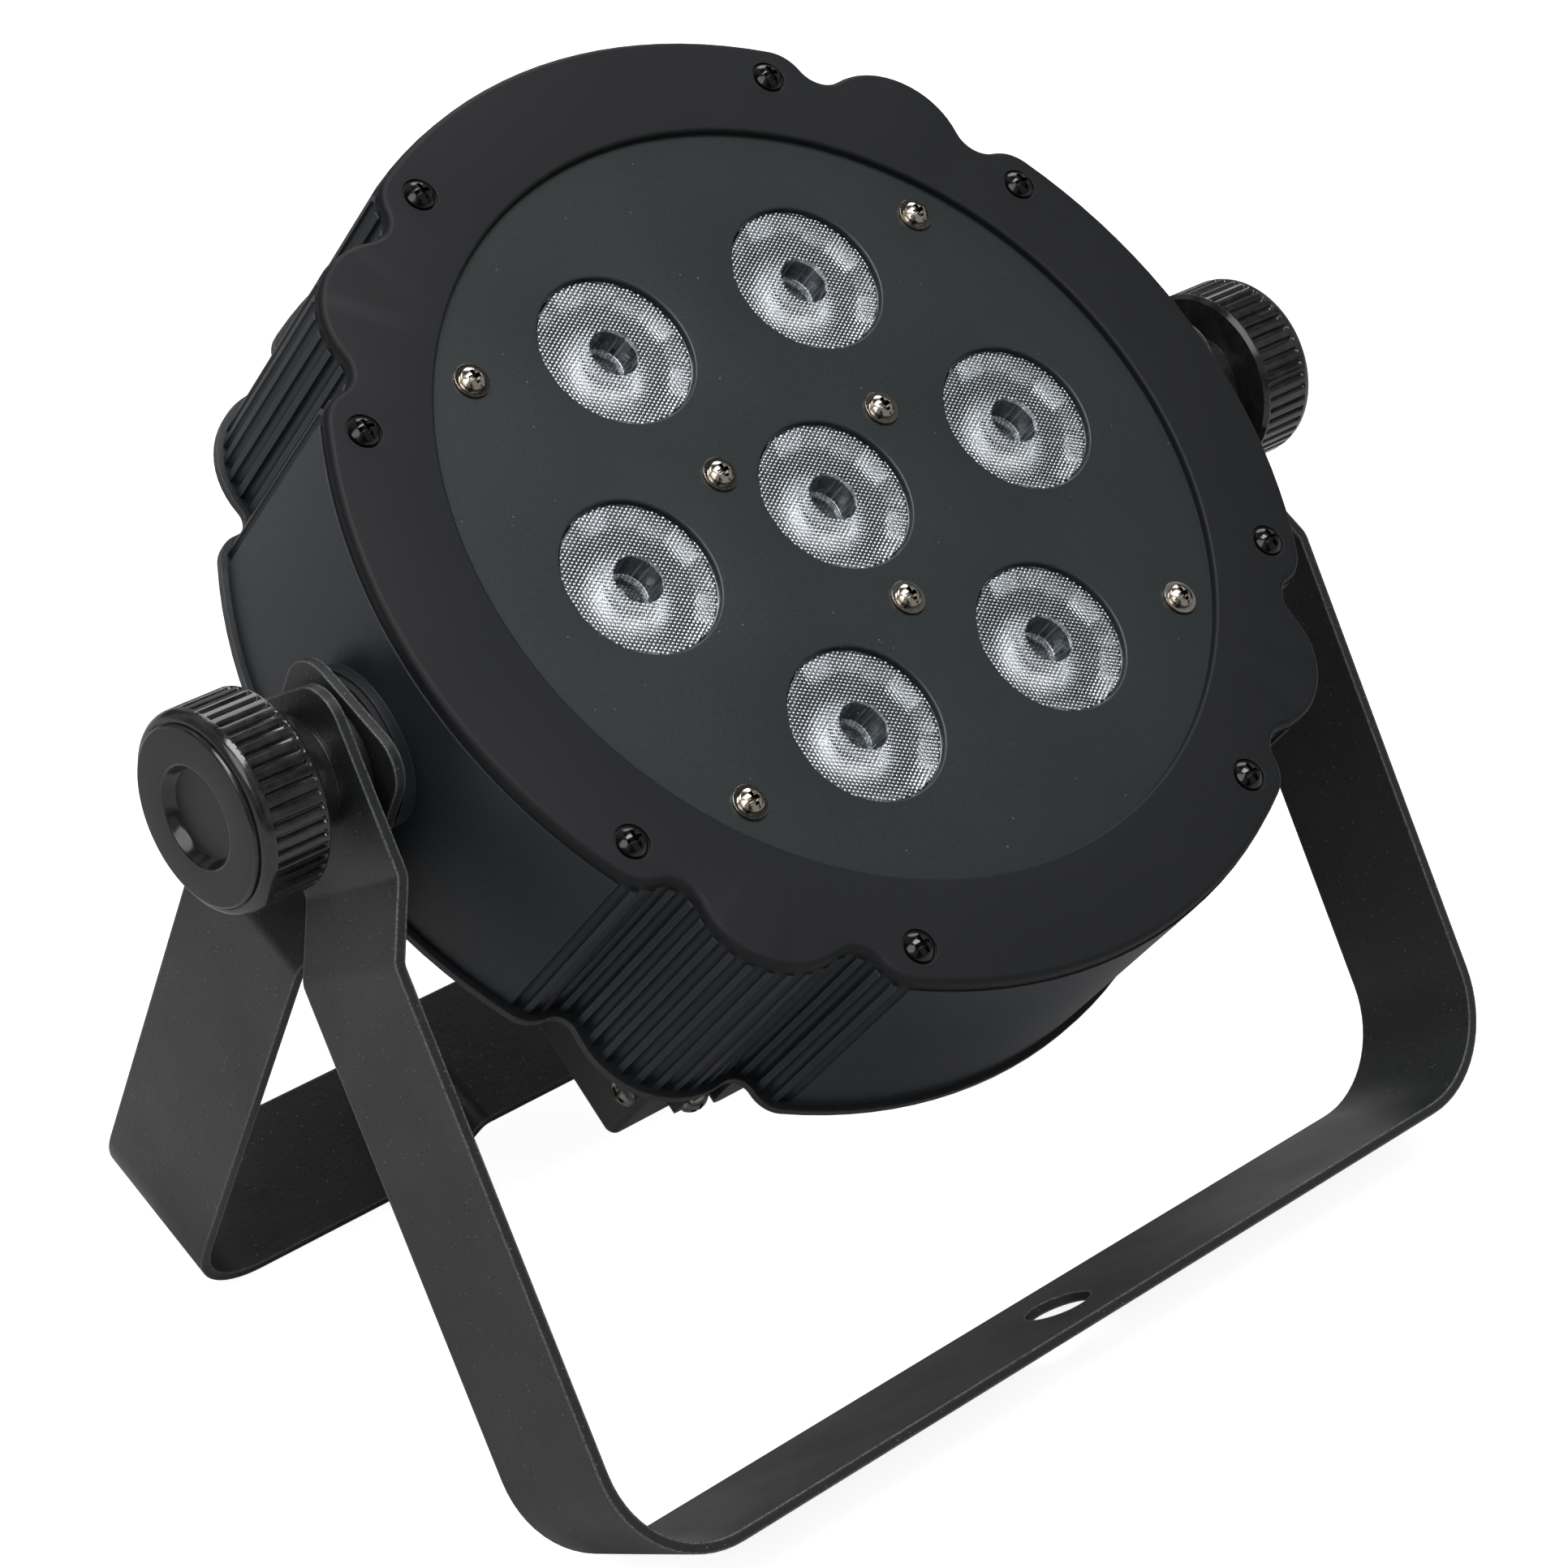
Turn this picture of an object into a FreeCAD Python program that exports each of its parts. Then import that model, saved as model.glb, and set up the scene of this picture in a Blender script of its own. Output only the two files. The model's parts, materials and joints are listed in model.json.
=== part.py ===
"""Par can light: a slim stage lamp with seven lenses on a double standing bracket.

The lamp is drawn in a head frame: the origin is on the pivot line midway between the
knobs, +X runs along the pivot line, +Z is the way the beam leaves and +Y is up the face.
Each bracket is drawn hanging straight down from the same pivot line.  At the end every
piece is turned about the pivot line into the standing pose and lifted so that the two
bracket bars rest on the floor, z = 0.  Millimetres throughout.
"""
import FreeCAD, Part
import math
import os

V = FreeCAD.Vector
X_AXIS = V(1, 0, 0)
Y_AXIS = V(0, 1, 0)
Z_AXIS = V(0, 0, 1)
ORIGIN = V(0, 0, 0)
LEFT = -1
RIGHT = 1
SIDES = (LEFT, RIGHT)
RUNNING_GAP = 0.05          # between a turning piece and the piece it turns on
SAME = 0.01                 # lengths closer than this count as equal

# ---- the round head: depths are measured from the pivot line ----
COVER_RADIUS = 96.0
COVER_FRONT = 27.6
COVER_THICKNESS = 2.6
COVER_EDGE_ROUND = 1.2
COVER_SET_IN = 0.35         # how far the cover's edge stands in from the drum
BODY_FRONT = COVER_FRONT - COVER_THICKNESS
BODY_BACK = -22.0
BODY_WALL = 3.5
REAR_COVER_THICKNESS = 1.5
REAR_COVER_BACK = BODY_BACK - REAR_COVER_THICKNESS
REAR_COVER_OVERHANG = 1.3

# ---- the four lobes of the outline, halfway between the pivots and the top and bottom ----
LOBE_ANGLES = (45, 135, 225, 315)
LOBE_REACH = 98.4
LOBE_RADIUS = 16.0
VALLEY_RADIUS = 5.0
VALLEY_FLOOR = 91.2
COVER_SHOULDER = 8.0        # the drum turns into its lobes more sharply than the cover
DRUM_SHOULDER = 5.0
GROOVES_PER_LOBE = 17
GROOVE_RADIUS = 1.15

# ---- lens plate behind the front opening ----
OPENING_RADIUS = 76.0
PLATE_RADIUS = 80.0
PLATE_FRONT = COVER_FRONT - 1.6
PLATE_THICKNESS = 1.6
PLATE_BACK = PLATE_FRONT - PLATE_THICKNESS
LEDGE_RADIUS = 77.5
LEDGE_THICKNESS = 2.0

# ---- lenses, one in the middle and six around it ----
LENS_RING = 46.0
LENS_HOLE = 15.0
LENS_FACE_RADIUS = 14.8
LENS_FACE = PLATE_FRONT - 0.9
LENS_FLANGE_RADIUS = 16.6
LENS_FLANGE_THICKNESS = 1.5
LENS_FOOT_RADIUS = 6.6
LENS_POCKET_RADIUS = 4.6
LENS_POCKET_DEPTH = 4.0
LENS_RECESS_RADIUS = 4.7
LENS_RECESS_DEPTH = 6.0
LENS_RECESS_TAPER = 0.3
LENS_POCKET_TAPER = 1.0
LENS_RIM_ROUND = 0.4
HOLDER_WALL = 1.2
HOLDER_GAP = 0.3            # between a lens and its holder

# ---- lamp board and heat sink ----
SINK_RADIUS = 73.0
SINK_BACK = 4.0
SINK_FRONT = 8.0
FIN_DEPTH = 9.0
FIN_THICKNESS = 2.0
FIN_PITCH = 9.0
LAMP_BOARD_RADIUS = 64.0
BOARD_THICKNESS = 1.6
LAMP_BOARD_FRONT = SINK_FRONT + BOARD_THICKNESS
EMITTER_WIDTH = 6.0
EMITTER_BASE = 0.9
EMITTER_DOME = 2.2
EMITTER_GAP = 0.4           # between an emitter's dome and the foot of its lens
LENS_FOOT = LAMP_BOARD_FRONT + EMITTER_BASE + EMITTER_DOME + EMITTER_GAP
LENS_SHOULDER_RADIUS = LENS_FOOT_RADIUS + 4.4
LENS_SHOULDER = LENS_FOOT + 4.2
SINK_EDGE = 4.0             # bare edge of the sink beyond the ends of its fins

# ---- screws ----
RIM_SCREW_RING = 89.0
RIM_SCREW_SPREAD = 17.2
DISH_RADIUS = 3.3           # shallow seat of a rim screw in the cover
DISH_DEPTH = 0.5
PLATE_SCREW_RING = 69.0
PLATE_SCREW_ANGLE = 39.3
INNER_SCREW_RING = 22.7
INNER_SCREW_ANGLES = (30, 150, 270)
SCREW_RADIUS = 1.45
SCREW_HOLE = 1.5
SCREW_LENGTH = 8.0
PLATE_SCREW_LENGTH = 7.0
SHORT_SCREW_LENGTH = 5.0
HEAD_RADIUS = 2.8
HEAD_HEIGHT = 2.1
WASHER_HEAD_RADIUS = 3.25
WASHER_HEAD_THICKNESS = 0.6
WASHER_HEAD_STEP = 0.6      # how much smaller the head is above its washer
HEAD_SIDE = 0.7             # upright side of the head below its crown
RECESS_ARM = 0.8
RECESS_SHARE = 0.6          # reach of the driver recess, as a share of the head's width
RECESS_DEPTH = 1.2
STANDOFF_CLEARANCE = 0.2
STANDOFF_RADIUS = 3.0
BOSS_RADIUS = 3.7

# ---- pivot hardware, from the drum outwards ----
STUD_RADIUS = 4.0
STUD_HOLE = STUD_RADIUS + RUNNING_GAP
STUD_INNER_END = 85.0
BOSS_PAD_RADIUS = 14.6
BOSS_PAD_INNER_END = COVER_RADIUS - 1.5 * BODY_WALL
BOSS_CORE_RADIUS = 11.0
BOSS_INNER_END = 84.0
PAD_FACE = 97.8
PIVOT_INSERT_RADIUS = 6.5
FRICTION_PAD_RADIUS = 14.0
FRICTION_PAD_THICKNESS = 1.15
STRIP_THICKNESS = 2.0
STRIP_WIDTH = 30.0
EAR_TOP = 13.3
EAR_CORNER = 7.0
REAR_EAR = 101.0
FRONT_EAR = 106.9
SPACER_RADIUS = 11.0
THRUST_WASHER_RADIUS = 9.0
THRUST_WASHER_THICKNESS = 1.2
KNOB_COLLAR_RADIUS = 10.5
KNOB_RADIUS = 18.0
KNOB_INNER = 114.9
KNOB_OUTER = 129.4
KNOB_FACE_RADIUS = 16.0
KNOB_RECESS_RADIUS = 9.4
KNOB_RECESS_FLOOR = 7.4
KNOB_RECESS_DEPTH = 2.0
KNOB_EDGE = 0.8
KNOB_FACE_EDGE = 0.5
KNURL_COUNT = 46
KNURL_RADIUS = 0.75
KNURL_RING = KNOB_RADIUS + 0.1
KNURL_START = KNOB_INNER + 0.9
KNURL_END = KNOB_OUTER - 3.2
STUD_HEAD_FLATS = 13.0
STUD_HEAD_THICKNESS = 5.3

# ---- brackets: half width of the arms, and pivot line to the outer face of the bar ----
FRONT_ARM = 113.8
FRONT_BAR = 147.5
FRONT_CORNER = 22.0
FRONT_BEND_START = 21.0
FRONT_BEND_END = 34.0
REAR_ARM = 110.6
REAR_BAR = 138.3
REAR_CORNER = 18.0
REAR_BEND_START = 22.0
REAR_BEND_END = 35.5
RAISED_HALF_WIDTH = 41.0
RAISED_SLOPE_RUN = 7.0
RAISED_HEIGHT = 11.5
BEND_RADIUS = 2.5
MOUNTING_HOLE_RADIUS = 6.5

# ---- standing pose ----
HEAD_TILT = 37.2            # beam axis away from straight up
FRONT_LEAN = 32.2           # front bracket away from straight down

# ---- box behind the head for the supply, the menu and the sockets ----
BOX_HALF_WIDTH = 60.0
BOX_BOTTOM = -69.0
BOX_TOP = 56.0
BOX_BACK = -54.5
BOX_WALL = 1.5
BOX_CORNER = 2.0
BOX_INSIDE_BACK = BOX_BACK + BOX_WALL
BOX_SCREW_DEPTH = -42.5
BOX_SCREW_INSET = 4.0
TAB_WIDTH = 8.0
TAB_END = -47.0
BACK_OPENING_HALF_WIDTH = 50.0
BACK_OPENING_BOTTOM = -56.0
BACK_OPENING_TOP = 46.0
VENT_WIDTH = 2.6
VENT_INNER = 68.0
VENT_OUTER = 84.0
VENT_STEP = 6.0
VENT_GROUPS = ((0, 9), (180, 9), (90, 7))    # direction of each group and its number of slots

# ---- sockets ----
XLR_X = 30.0
XLR_DEPTH = -38.5
XLR_FLANGE_LONG = 36.6
XLR_FLANGE_SHORT = 27.0
XLR_FLANGE_THICKNESS = 2.2
XLR_COLLAR_WIDTH = 24.0
XLR_COLLAR_HEIGHT = 4.2
XLR_SCREW_X = 15.1
XLR_SCREW_Y = 9.5
XLR_BODY_RADIUS = 11.7
XLR_BODY_DEPTH = 20.0
XLR_MOUTH_RADIUS = 9.8
XLR_MOUTH_DEPTH = 15.0
XLR_FLANGE_CORNER = 1.5
XLR_COLLAR_CORNER = 4.0
LATCH_WIDTH = 8.0
LATCH_THICKNESS = 3.2
LATCH_DEPTH = 8.0
LATCH_GAP = 0.1
LATCH_TRAVEL_ROOM = 2.0
LATCH_RISE = 0.6
XLR_PIN_RING = 4.6
XLR_PIN_RADIUS = 1.2
XLR_PIN_SET_BACK = 3.0      # how far the pins stand below the rim
XLR_GROOVE_INSET = 0.4
XLR_GROOVE_WIDTH = 1.2
XLR_GROOVE_DEPTH = 3.0
XLR_CONTACT_CLEARANCE = 0.2
SOLDER_TAIL = 4.0           # how far contacts stand out behind a socket
POWER_Y = -28.0
INLET_X = -28.5
INLET_LENGTH = 49.0
OUTLET_X = 28.5
OUTLET_LENGTH = 33.0
POWER_HEIGHT = 28.0
POWER_FLANGE = 2.5
POWER_BODY_DEPTH = 21.0
MOUTH_WIDTH = 16.5
MOUTH_HEIGHT = 24.5
MOUTH_DEPTH = 16.0
FUSE_DRAWER_WIDTH = 13.0
FUSE_DRAWER_HEIGHT = 20.0
FUSE_DRAWER_DEPTH = 17.0
FUSE_LIP_HEIGHT = 3.0
FUSE_LIP_REACH = 1.0
FUSE_LIP_RISE = 6.0
DRAWER_GAP = 0.1
POWER_CORNER = 2.0
POWER_EDGE = 1.6            # flange beyond the socket's body
MOUTH_CORNER = 2.5
MOUTH_MARGIN = 5.0          # from the end of the inlet to its plug opening
DRAWER_MARGIN = 4.5         # from the other end to the fuse drawer
ISLAND_GAP = 2.0            # groove round the outlet's block
BLADE_WIDTH = 2.0
BLADE_HEIGHT = 4.0
BLADE_SET_BACK = 4.0
BLADE_SPREAD_X = 2.5
BLADE_SPREAD_Y = 7.0

# ---- boards inside the back ----
BOARD_HALF_WIDTH = 56.0
BOARD_FRONT = -17.0
BOARD_BACK = BOARD_FRONT - BOARD_THICKNESS
POST_X = 53.0
POST_RADIUS = 2.4
POST_INSET = 5.0
SUPPLY_BOTTOM = -6.0
SUPPLY_TOP = 44.0
DRIVER_BOTTOM = -52.0
DRIVER_TOP = -11.0
FILTER_SIZE = (14.0, 10.0)
FILTER_HEIGHT = 7.0
FILTER_PLACE = (-36.0, 28.0)
RECTIFIER_SIZE = (10.0, 8.0)
RECTIFIER_HEIGHT = 6.0
RECTIFIER_PLACE = (34.0, 10.0)
CAPACITOR_RADIUS = 2.5
CAPACITOR_HEIGHT = 8.0
CAPACITOR_X = (-14, -5, 4, 13)
CAPACITOR_Y = 34.0
RESERVOIR_RADIUS = 8.0
RESERVOIR_LENGTH = 24.0
RESERVOIR_START = (-46.0, 30.0)
RESERVOIR_SINK = 0.5        # how far the lying can dips into its board
CHANNEL_X = (-33, -11, 11, 33)
COIL_RADIUS = 4.5
COIL_HEIGHT = 6.0
COIL_Y = -30.0
CHIP_SIZE = (8.0, 5.0)
CHIP_HEIGHT = 2.0
CHIP_Y = -43.0
TRANSFORMER_PLACE = (12.0, 18.0)
CORE_SIZE = (30.0, 10.0)
CORE_HEIGHT = 18.0
WINDING_SIZE = (18.0, 24.0)
WINDING_INSET = 2.0
WINDING_CORNER = 3.0

LEAD_RADIUS = 1.1
LEAD_BEND = 2.2
LEAD_RISE = 5.0             # how far a lead stands off a board before it turns
LEAD_INSET = 4.0            # from the edge of a board to its first lead
LEAD_RUN_INSET = 6.0
LEAD_SPACING = 5.0
LEAD_END_X = -26.0

# ---- menu display and buttons on the back ----
DISPLAY_Y = 36.0
DISPLAY_WIDTH = 34.0
DISPLAY_HEIGHT = 16.0
DISPLAY_MARGIN = 2.5
DISPLAY_GAP = 0.3           # between the window and the digits behind it
MENU_BOARD_HALF_WIDTH = 40.0
MENU_BOARD_BOTTOM = 4.0
MENU_BOARD_TOP = 50.0
MENU_BOARD_FRONT = -44.0
MENU_BOARD_BACK = MENU_BOARD_FRONT - BOARD_THICKNESS
BUTTON_Y = 14.0
BUTTON_X = (-27, -9, 9, 27)
BUTTON_RADIUS = 3.4
BUTTON_RISE = 2.0
BUTTON_TRAVEL = 0.8
BUTTON_EDGE = 0.6
BUTTON_FLANGE_RADIUS = 4.4
BUTTON_FLANGE_THICKNESS = 1.0
BUTTON_STEM_RADIUS = 1.5
BUTTON_STEM_REACH = 3.2     # inner end of the stem, measured from the inside of the box
SWITCH_WIDTH = 6.0


# ---------------------------------------------------------------- small helpers

def polar(radius, degrees):
    """The x and y of a point at a radius and an angle about +Z."""
    angle = math.radians(degrees)
    return radius * math.cos(angle), radius * math.sin(angle)


def disc(radius, back, front, x=0.0, y=0.0):
    """A round bar along +Z."""
    return Part.makeCylinder(radius, front - back, V(x, y, back), Z_AXIS)


def ring(outer, inner, back, front, x=0.0, y=0.0):
    """A round bar along +Z with a hole through it."""
    return disc(outer, back, front, x, y).cut(disc(inner, back, front, x, y))


def block(x_range, y_range, z_range):
    """A box between pairs of limits."""
    corner = V(x_range[0], y_range[0], z_range[0])
    return Part.makeBox(x_range[1] - x_range[0], y_range[1] - y_range[0],
                        z_range[1] - z_range[0], corner)


def centred_block(width, height, back, front, x=0.0, y=0.0):
    """A box of a width and height about a point, between two depths."""
    return block((x - width / 2, x + width / 2), (y - height / 2, y + height / 2), (back, front))


def pivot_rod(radius, inner, outer, side):
    """A round bar on the pivot line, between two distances from the middle."""
    return Part.makeCylinder(radius, outer - inner, V(side * inner, 0, 0), V(side, 0, 0))


def pivot_ring(outer_radius, hole, inner, outer, side):
    """A round bar on the pivot line with a hole through it."""
    return pivot_rod(outer_radius, inner, outer, side).cut(pivot_rod(hole, inner, outer, side))


def joined(shapes):
    """One solid from shapes that touch or overlap."""
    shapes = list(shapes)
    if len(shapes) == 1:
        return shapes[0]
    return shapes[0].multiFuse(shapes[1:]).removeSplitter()


def turned(profile):
    """A solid of revolution about +Z from (radius, height) corners."""
    points = [V(r, 0, z) for r, z in profile]
    outline = Part.makePolygon(points + points[:1])
    return Part.Face(outline).revolve(ORIGIN, Z_AXIS, 360)


def rounded_edges(solid, radius, wanted):
    """Fillet every edge for which wanted(edge) is true."""
    edges = [edge for edge in solid.Edges if wanted(edge)]
    return solid.makeFillet(radius, edges)


def all_at_depth(depth):
    """A test for edges that lie wholly at one depth."""
    return lambda edge: all(abs(v.Z - depth) < SAME for v in edge.Vertexes)


def circle_at(radius, depth):
    """A test for circular edges of one radius that lie at one depth."""
    return lambda edge: (edge.Curve.TypeId == "Part::GeomCircle"
                         and abs(edge.Curve.Radius - radius) < SAME
                         and all_at_depth(depth)(edge))


def runs_along(edge, axis):
    """True for a straight edge parallel to an axis."""
    if edge.Curve.TypeId != "Part::GeomLine":
        return False
    return abs(edge.tangentAt(edge.FirstParameter).dot(axis)) > 0.999


def along_x(edge):
    """True for a straight edge parallel to the pivot line."""
    return runs_along(edge, X_AXIS)


def along_z(edge):
    """True for a straight edge parallel to +Z."""
    return runs_along(edge, Z_AXIS)


def moved(shape, x=0.0, y=0.0, z=0.0):
    """A copy of the shape moved along the axes."""
    copy = shape.copy()
    copy.translate(V(x, y, z))
    return copy


def spun(shape, degrees, axis=Z_AXIS):
    """A copy of the shape turned about an axis through the origin."""
    copy = shape.copy()
    copy.rotate(ORIGIN, axis, degrees)
    return copy


# ---------------------------------------------------------------- lobed outline

def arc(centre, radius, start, end):
    """A circular arc in the XY plane between two angles in degrees."""
    def at(degrees):
        x, y = polar(radius, degrees)
        return V(centre.x + x, centre.y + y, 0)
    return Part.Arc(at(start), at((start + end) / 2), at(end)).toShape()


def angle_between(side_a, side_b, opposite):
    """The triangle angle between two sides, from the length of the third, in degrees."""
    cosine = (side_a ** 2 + side_b ** 2 - opposite ** 2) / (2 * side_a * side_b)
    return math.degrees(math.acos(cosine))


def direction(start, end):
    """The angle of the line from one point to another, in degrees."""
    return math.degrees(math.atan2(end.y - start.y, end.x - start.x))


def lobe_layout(shoulder_radius):
    """Centres of the lobe, valley and shoulder arcs of a lobe that points along +X."""
    lobe = V(LOBE_REACH - LOBE_RADIUS, 0, 0)
    valley_reach = VALLEY_FLOOR + VALLEY_RADIUS
    shoulder_reach = COVER_RADIUS - shoulder_radius
    valley_angle = angle_between(lobe.x, valley_reach, LOBE_RADIUS + VALLEY_RADIUS)
    shoulder_angle = valley_angle + angle_between(
        valley_reach, shoulder_reach, VALLEY_RADIUS + shoulder_radius)
    valley = V(*polar(valley_reach, valley_angle), 0)
    shoulder = V(*polar(shoulder_reach, shoulder_angle), 0)
    return lobe, valley, shoulder, shoulder_angle


def half_lobe(inset, shoulder_radius):
    """Arcs from the crown of a lobe that points along +X to the plain round rim."""
    lobe, valley, shoulder, shoulder_angle = lobe_layout(shoulder_radius)
    leave_lobe = direction(lobe, valley)
    leave_valley = direction(valley, shoulder)
    return [
        arc(lobe, LOBE_RADIUS - inset, 0, leave_lobe),
        arc(valley, VALLEY_RADIUS + inset, leave_lobe + 180, leave_valley),
        arc(shoulder, shoulder_radius - inset, leave_valley - 180, shoulder_angle),
    ]


def whole_lobe(inset, shoulder_radius):
    """Both halves of a lobe that points along +X."""
    half = half_lobe(inset, shoulder_radius)
    other = [edge.mirror(ORIGIN, Y_AXIS) for edge in half]
    return half + other


def lobed_slab(inset, back, front, shoulder_radius=DRUM_SHOULDER):
    """The head's outline, drawn in by an inset and extruded between two depths."""
    rim_start = lobe_layout(shoulder_radius)[3]
    edges = []
    for angle in LOBE_ANGLES:
        edges += [spun(edge, angle) for edge in whole_lobe(inset, shoulder_radius)]
        edges.append(arc(ORIGIN, COVER_RADIUS - inset, angle + rim_start, angle + 90 - rim_start))
    outline = Part.Wire(Part.__sortEdges__(edges))
    slab = Part.Face(outline).extrude(V(0, 0, front - back))
    return moved(slab, z=back)


def groove_cutters(back, front):
    """Round cutters for the straight grooves down each lobe of the drum."""
    lobe = Part.Wire(Part.__sortEdges__(whole_lobe(0, DRUM_SHOULDER)))
    places = lobe.discretize(Number=GROOVES_PER_LOBE)
    one_lobe = [disc(GROOVE_RADIUS, back, front, p.x, p.y) for p in places]
    return [spun(cutter, angle) for angle in LOBE_ANGLES for cutter in one_lobe]


# ---------------------------------------------------------------- places that repeat

def lens_places():
    """The middle lens and then the six around it."""
    return [(0.0, 0.0)] + [polar(LENS_RING, 60 * i) for i in range(6)]


def rim_screw_places():
    """Eight screws round the rim, one on each side of every lobe."""
    spreads = (-RIM_SCREW_SPREAD, RIM_SCREW_SPREAD)
    return [polar(RIM_SCREW_RING, angle + spread) for angle in LOBE_ANGLES for spread in spreads]


def outer_plate_places():
    """Four screws near the edge of the lens plate."""
    angles = (PLATE_SCREW_ANGLE, 180 - PLATE_SCREW_ANGLE,
              180 + PLATE_SCREW_ANGLE, -PLATE_SCREW_ANGLE)
    return [polar(PLATE_SCREW_RING, angle) for angle in angles]


def inner_plate_places():
    """Three screws between the lenses."""
    return [polar(INNER_SCREW_RING, angle) for angle in INNER_SCREW_ANGLES]


# ---------------------------------------------------------------- shell of the head

def front_cover():
    """The lobed ring round the lens plate."""
    cover = lobed_slab(COVER_SET_IN, BODY_FRONT, COVER_FRONT, COVER_SHOULDER)
    cover = rounded_edges(cover, COVER_EDGE_ROUND, all_at_depth(COVER_FRONT))
    cover = cover.cut(disc(OPENING_RADIUS, BODY_FRONT, COVER_FRONT))
    cover = rounded_edges(cover, COVER_EDGE_ROUND / 2, circle_at(OPENING_RADIUS, COVER_FRONT))
    cover = cover.cut(disc(PLATE_RADIUS + RUNNING_GAP, BODY_FRONT, PLATE_FRONT))
    holes = [disc(SCREW_HOLE, BODY_FRONT, COVER_FRONT, x, y) for x, y in rim_screw_places()]
    dishes = [disc(DISH_RADIUS, COVER_FRONT - DISH_DEPTH, COVER_FRONT, x, y)
              for x, y in rim_screw_places()]
    return cover.cut(Part.makeCompound(holes)).cut(Part.makeCompound(dishes))


def housing_body():
    """The drum: a grooved wall with screw posts, a ledge for the plate and two pivot bosses."""
    wall = lobed_slab(0, BODY_BACK, BODY_FRONT)
    wall = wall.cut(Part.makeCompound(groove_cutters(BODY_BACK, BODY_FRONT)))
    wall = wall.cut(lobed_slab(BODY_WALL, BODY_BACK, BODY_FRONT))
    ledge = lobed_slab(BODY_WALL, PLATE_BACK - LEDGE_THICKNESS, PLATE_BACK)
    ledge = ledge.cut(disc(LEDGE_RADIUS, PLATE_BACK - LEDGE_THICKNESS, PLATE_BACK))
    posts = [disc(BOSS_RADIUS, BODY_BACK, BODY_FRONT, x, y) for x, y in rim_screw_places()]
    bosses = []
    for side in SIDES:
        bosses.append(pivot_rod(BOSS_CORE_RADIUS, BOSS_INNER_END, PAD_FACE, side))
        bosses.append(pivot_rod(BOSS_PAD_RADIUS, BOSS_PAD_INNER_END, PAD_FACE, side))
    body = joined([wall, ledge] + posts + bosses)
    holes = [disc(SCREW_HOLE, BODY_BACK, BODY_FRONT, x, y) for x, y in rim_screw_places()]
    holes += [pivot_rod(PIVOT_INSERT_RADIUS, BOSS_INNER_END, PAD_FACE, side) for side in SIDES]
    return body.cut(Part.makeCompound(holes))


def vent_slots():
    """Round-ended slots through the rear cover, beside and above the box."""
    slots = []
    for middle, count in VENT_GROUPS:
        for i in range(count):
            angle = middle + VENT_STEP * (i - (count - 1) / 2)
            straight = block((VENT_INNER, VENT_OUTER), (-VENT_WIDTH / 2, VENT_WIDTH / 2),
                             (REAR_COVER_BACK, BODY_BACK))
            ends = [disc(VENT_WIDTH / 2, REAR_COVER_BACK, BODY_BACK, x)
                    for x in (VENT_INNER, VENT_OUTER)]
            slots.append(spun(joined([straight] + ends), angle))
    return slots


def rear_cover():
    """Flat lobed back plate with bent tabs and board posts, open into the box."""
    plate = lobed_slab(-REAR_COVER_OVERHANG, REAR_COVER_BACK, BODY_BACK)
    opening = block((-BACK_OPENING_HALF_WIDTH, BACK_OPENING_HALF_WIDTH),
                    (BACK_OPENING_BOTTOM, BACK_OPENING_TOP), (REAR_COVER_BACK, BODY_BACK))
    plate = plate.cut(opening)
    extras = [disc(POST_RADIUS, BODY_BACK, BOARD_BACK, x, y) for x, y in board_post_places()]
    inside = BOX_WALL + RUNNING_GAP
    tab_outer = BOX_HALF_WIDTH - inside
    tab_spans = ((BOX_BOTTOM + inside, BOX_BOTTOM + inside + TAB_WIDTH),
                 (BOX_TOP - inside - TAB_WIDTH, BOX_TOP - inside))
    for side in SIDES:
        x_range = sorted((side * tab_outer, side * (tab_outer - BOX_WALL)))
        extras += [block(x_range, span, (TAB_END, BODY_BACK)) for span in tab_spans]
    plate = joined([plate] + extras)
    for side in SIDES:
        for height in box_screw_heights():
            start = V(side * (tab_outer - 2 * BOX_WALL), height, BOX_SCREW_DEPTH)
            plate = plate.cut(Part.makeCylinder(SCREW_HOLE, 3 * BOX_WALL, start, V(side, 0, 0)))
    holes = [disc(SCREW_HOLE, REAR_COVER_BACK, BODY_BACK, x, y) for x, y in rim_screw_places()]
    return plate.cut(Part.makeCompound(holes + vent_slots()))


def box_screw_heights():
    """Heights of the screws through the sides of the box, near its bottom and its top."""
    return BOX_BOTTOM + BOX_SCREW_INSET, BOX_TOP - BOX_SCREW_INSET


def board_post_places():
    """Posts under the corners of the two boards."""
    heights = (SUPPLY_BOTTOM + POST_INSET, SUPPLY_TOP - POST_INSET,
               DRIVER_BOTTOM + POST_INSET, DRIVER_TOP - POST_INSET)
    return [(side * POST_X, height) for side in SIDES for height in heights]


def power_hole(length, x):
    """Opening in the back of the box for the body of a mains socket."""
    narrower = 2 * (POWER_EDGE - DRAWER_GAP)
    return centred_block(length - narrower, POWER_HEIGHT - narrower, BOX_BACK, BOX_INSIDE_BACK,
                         x, POWER_Y)


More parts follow.
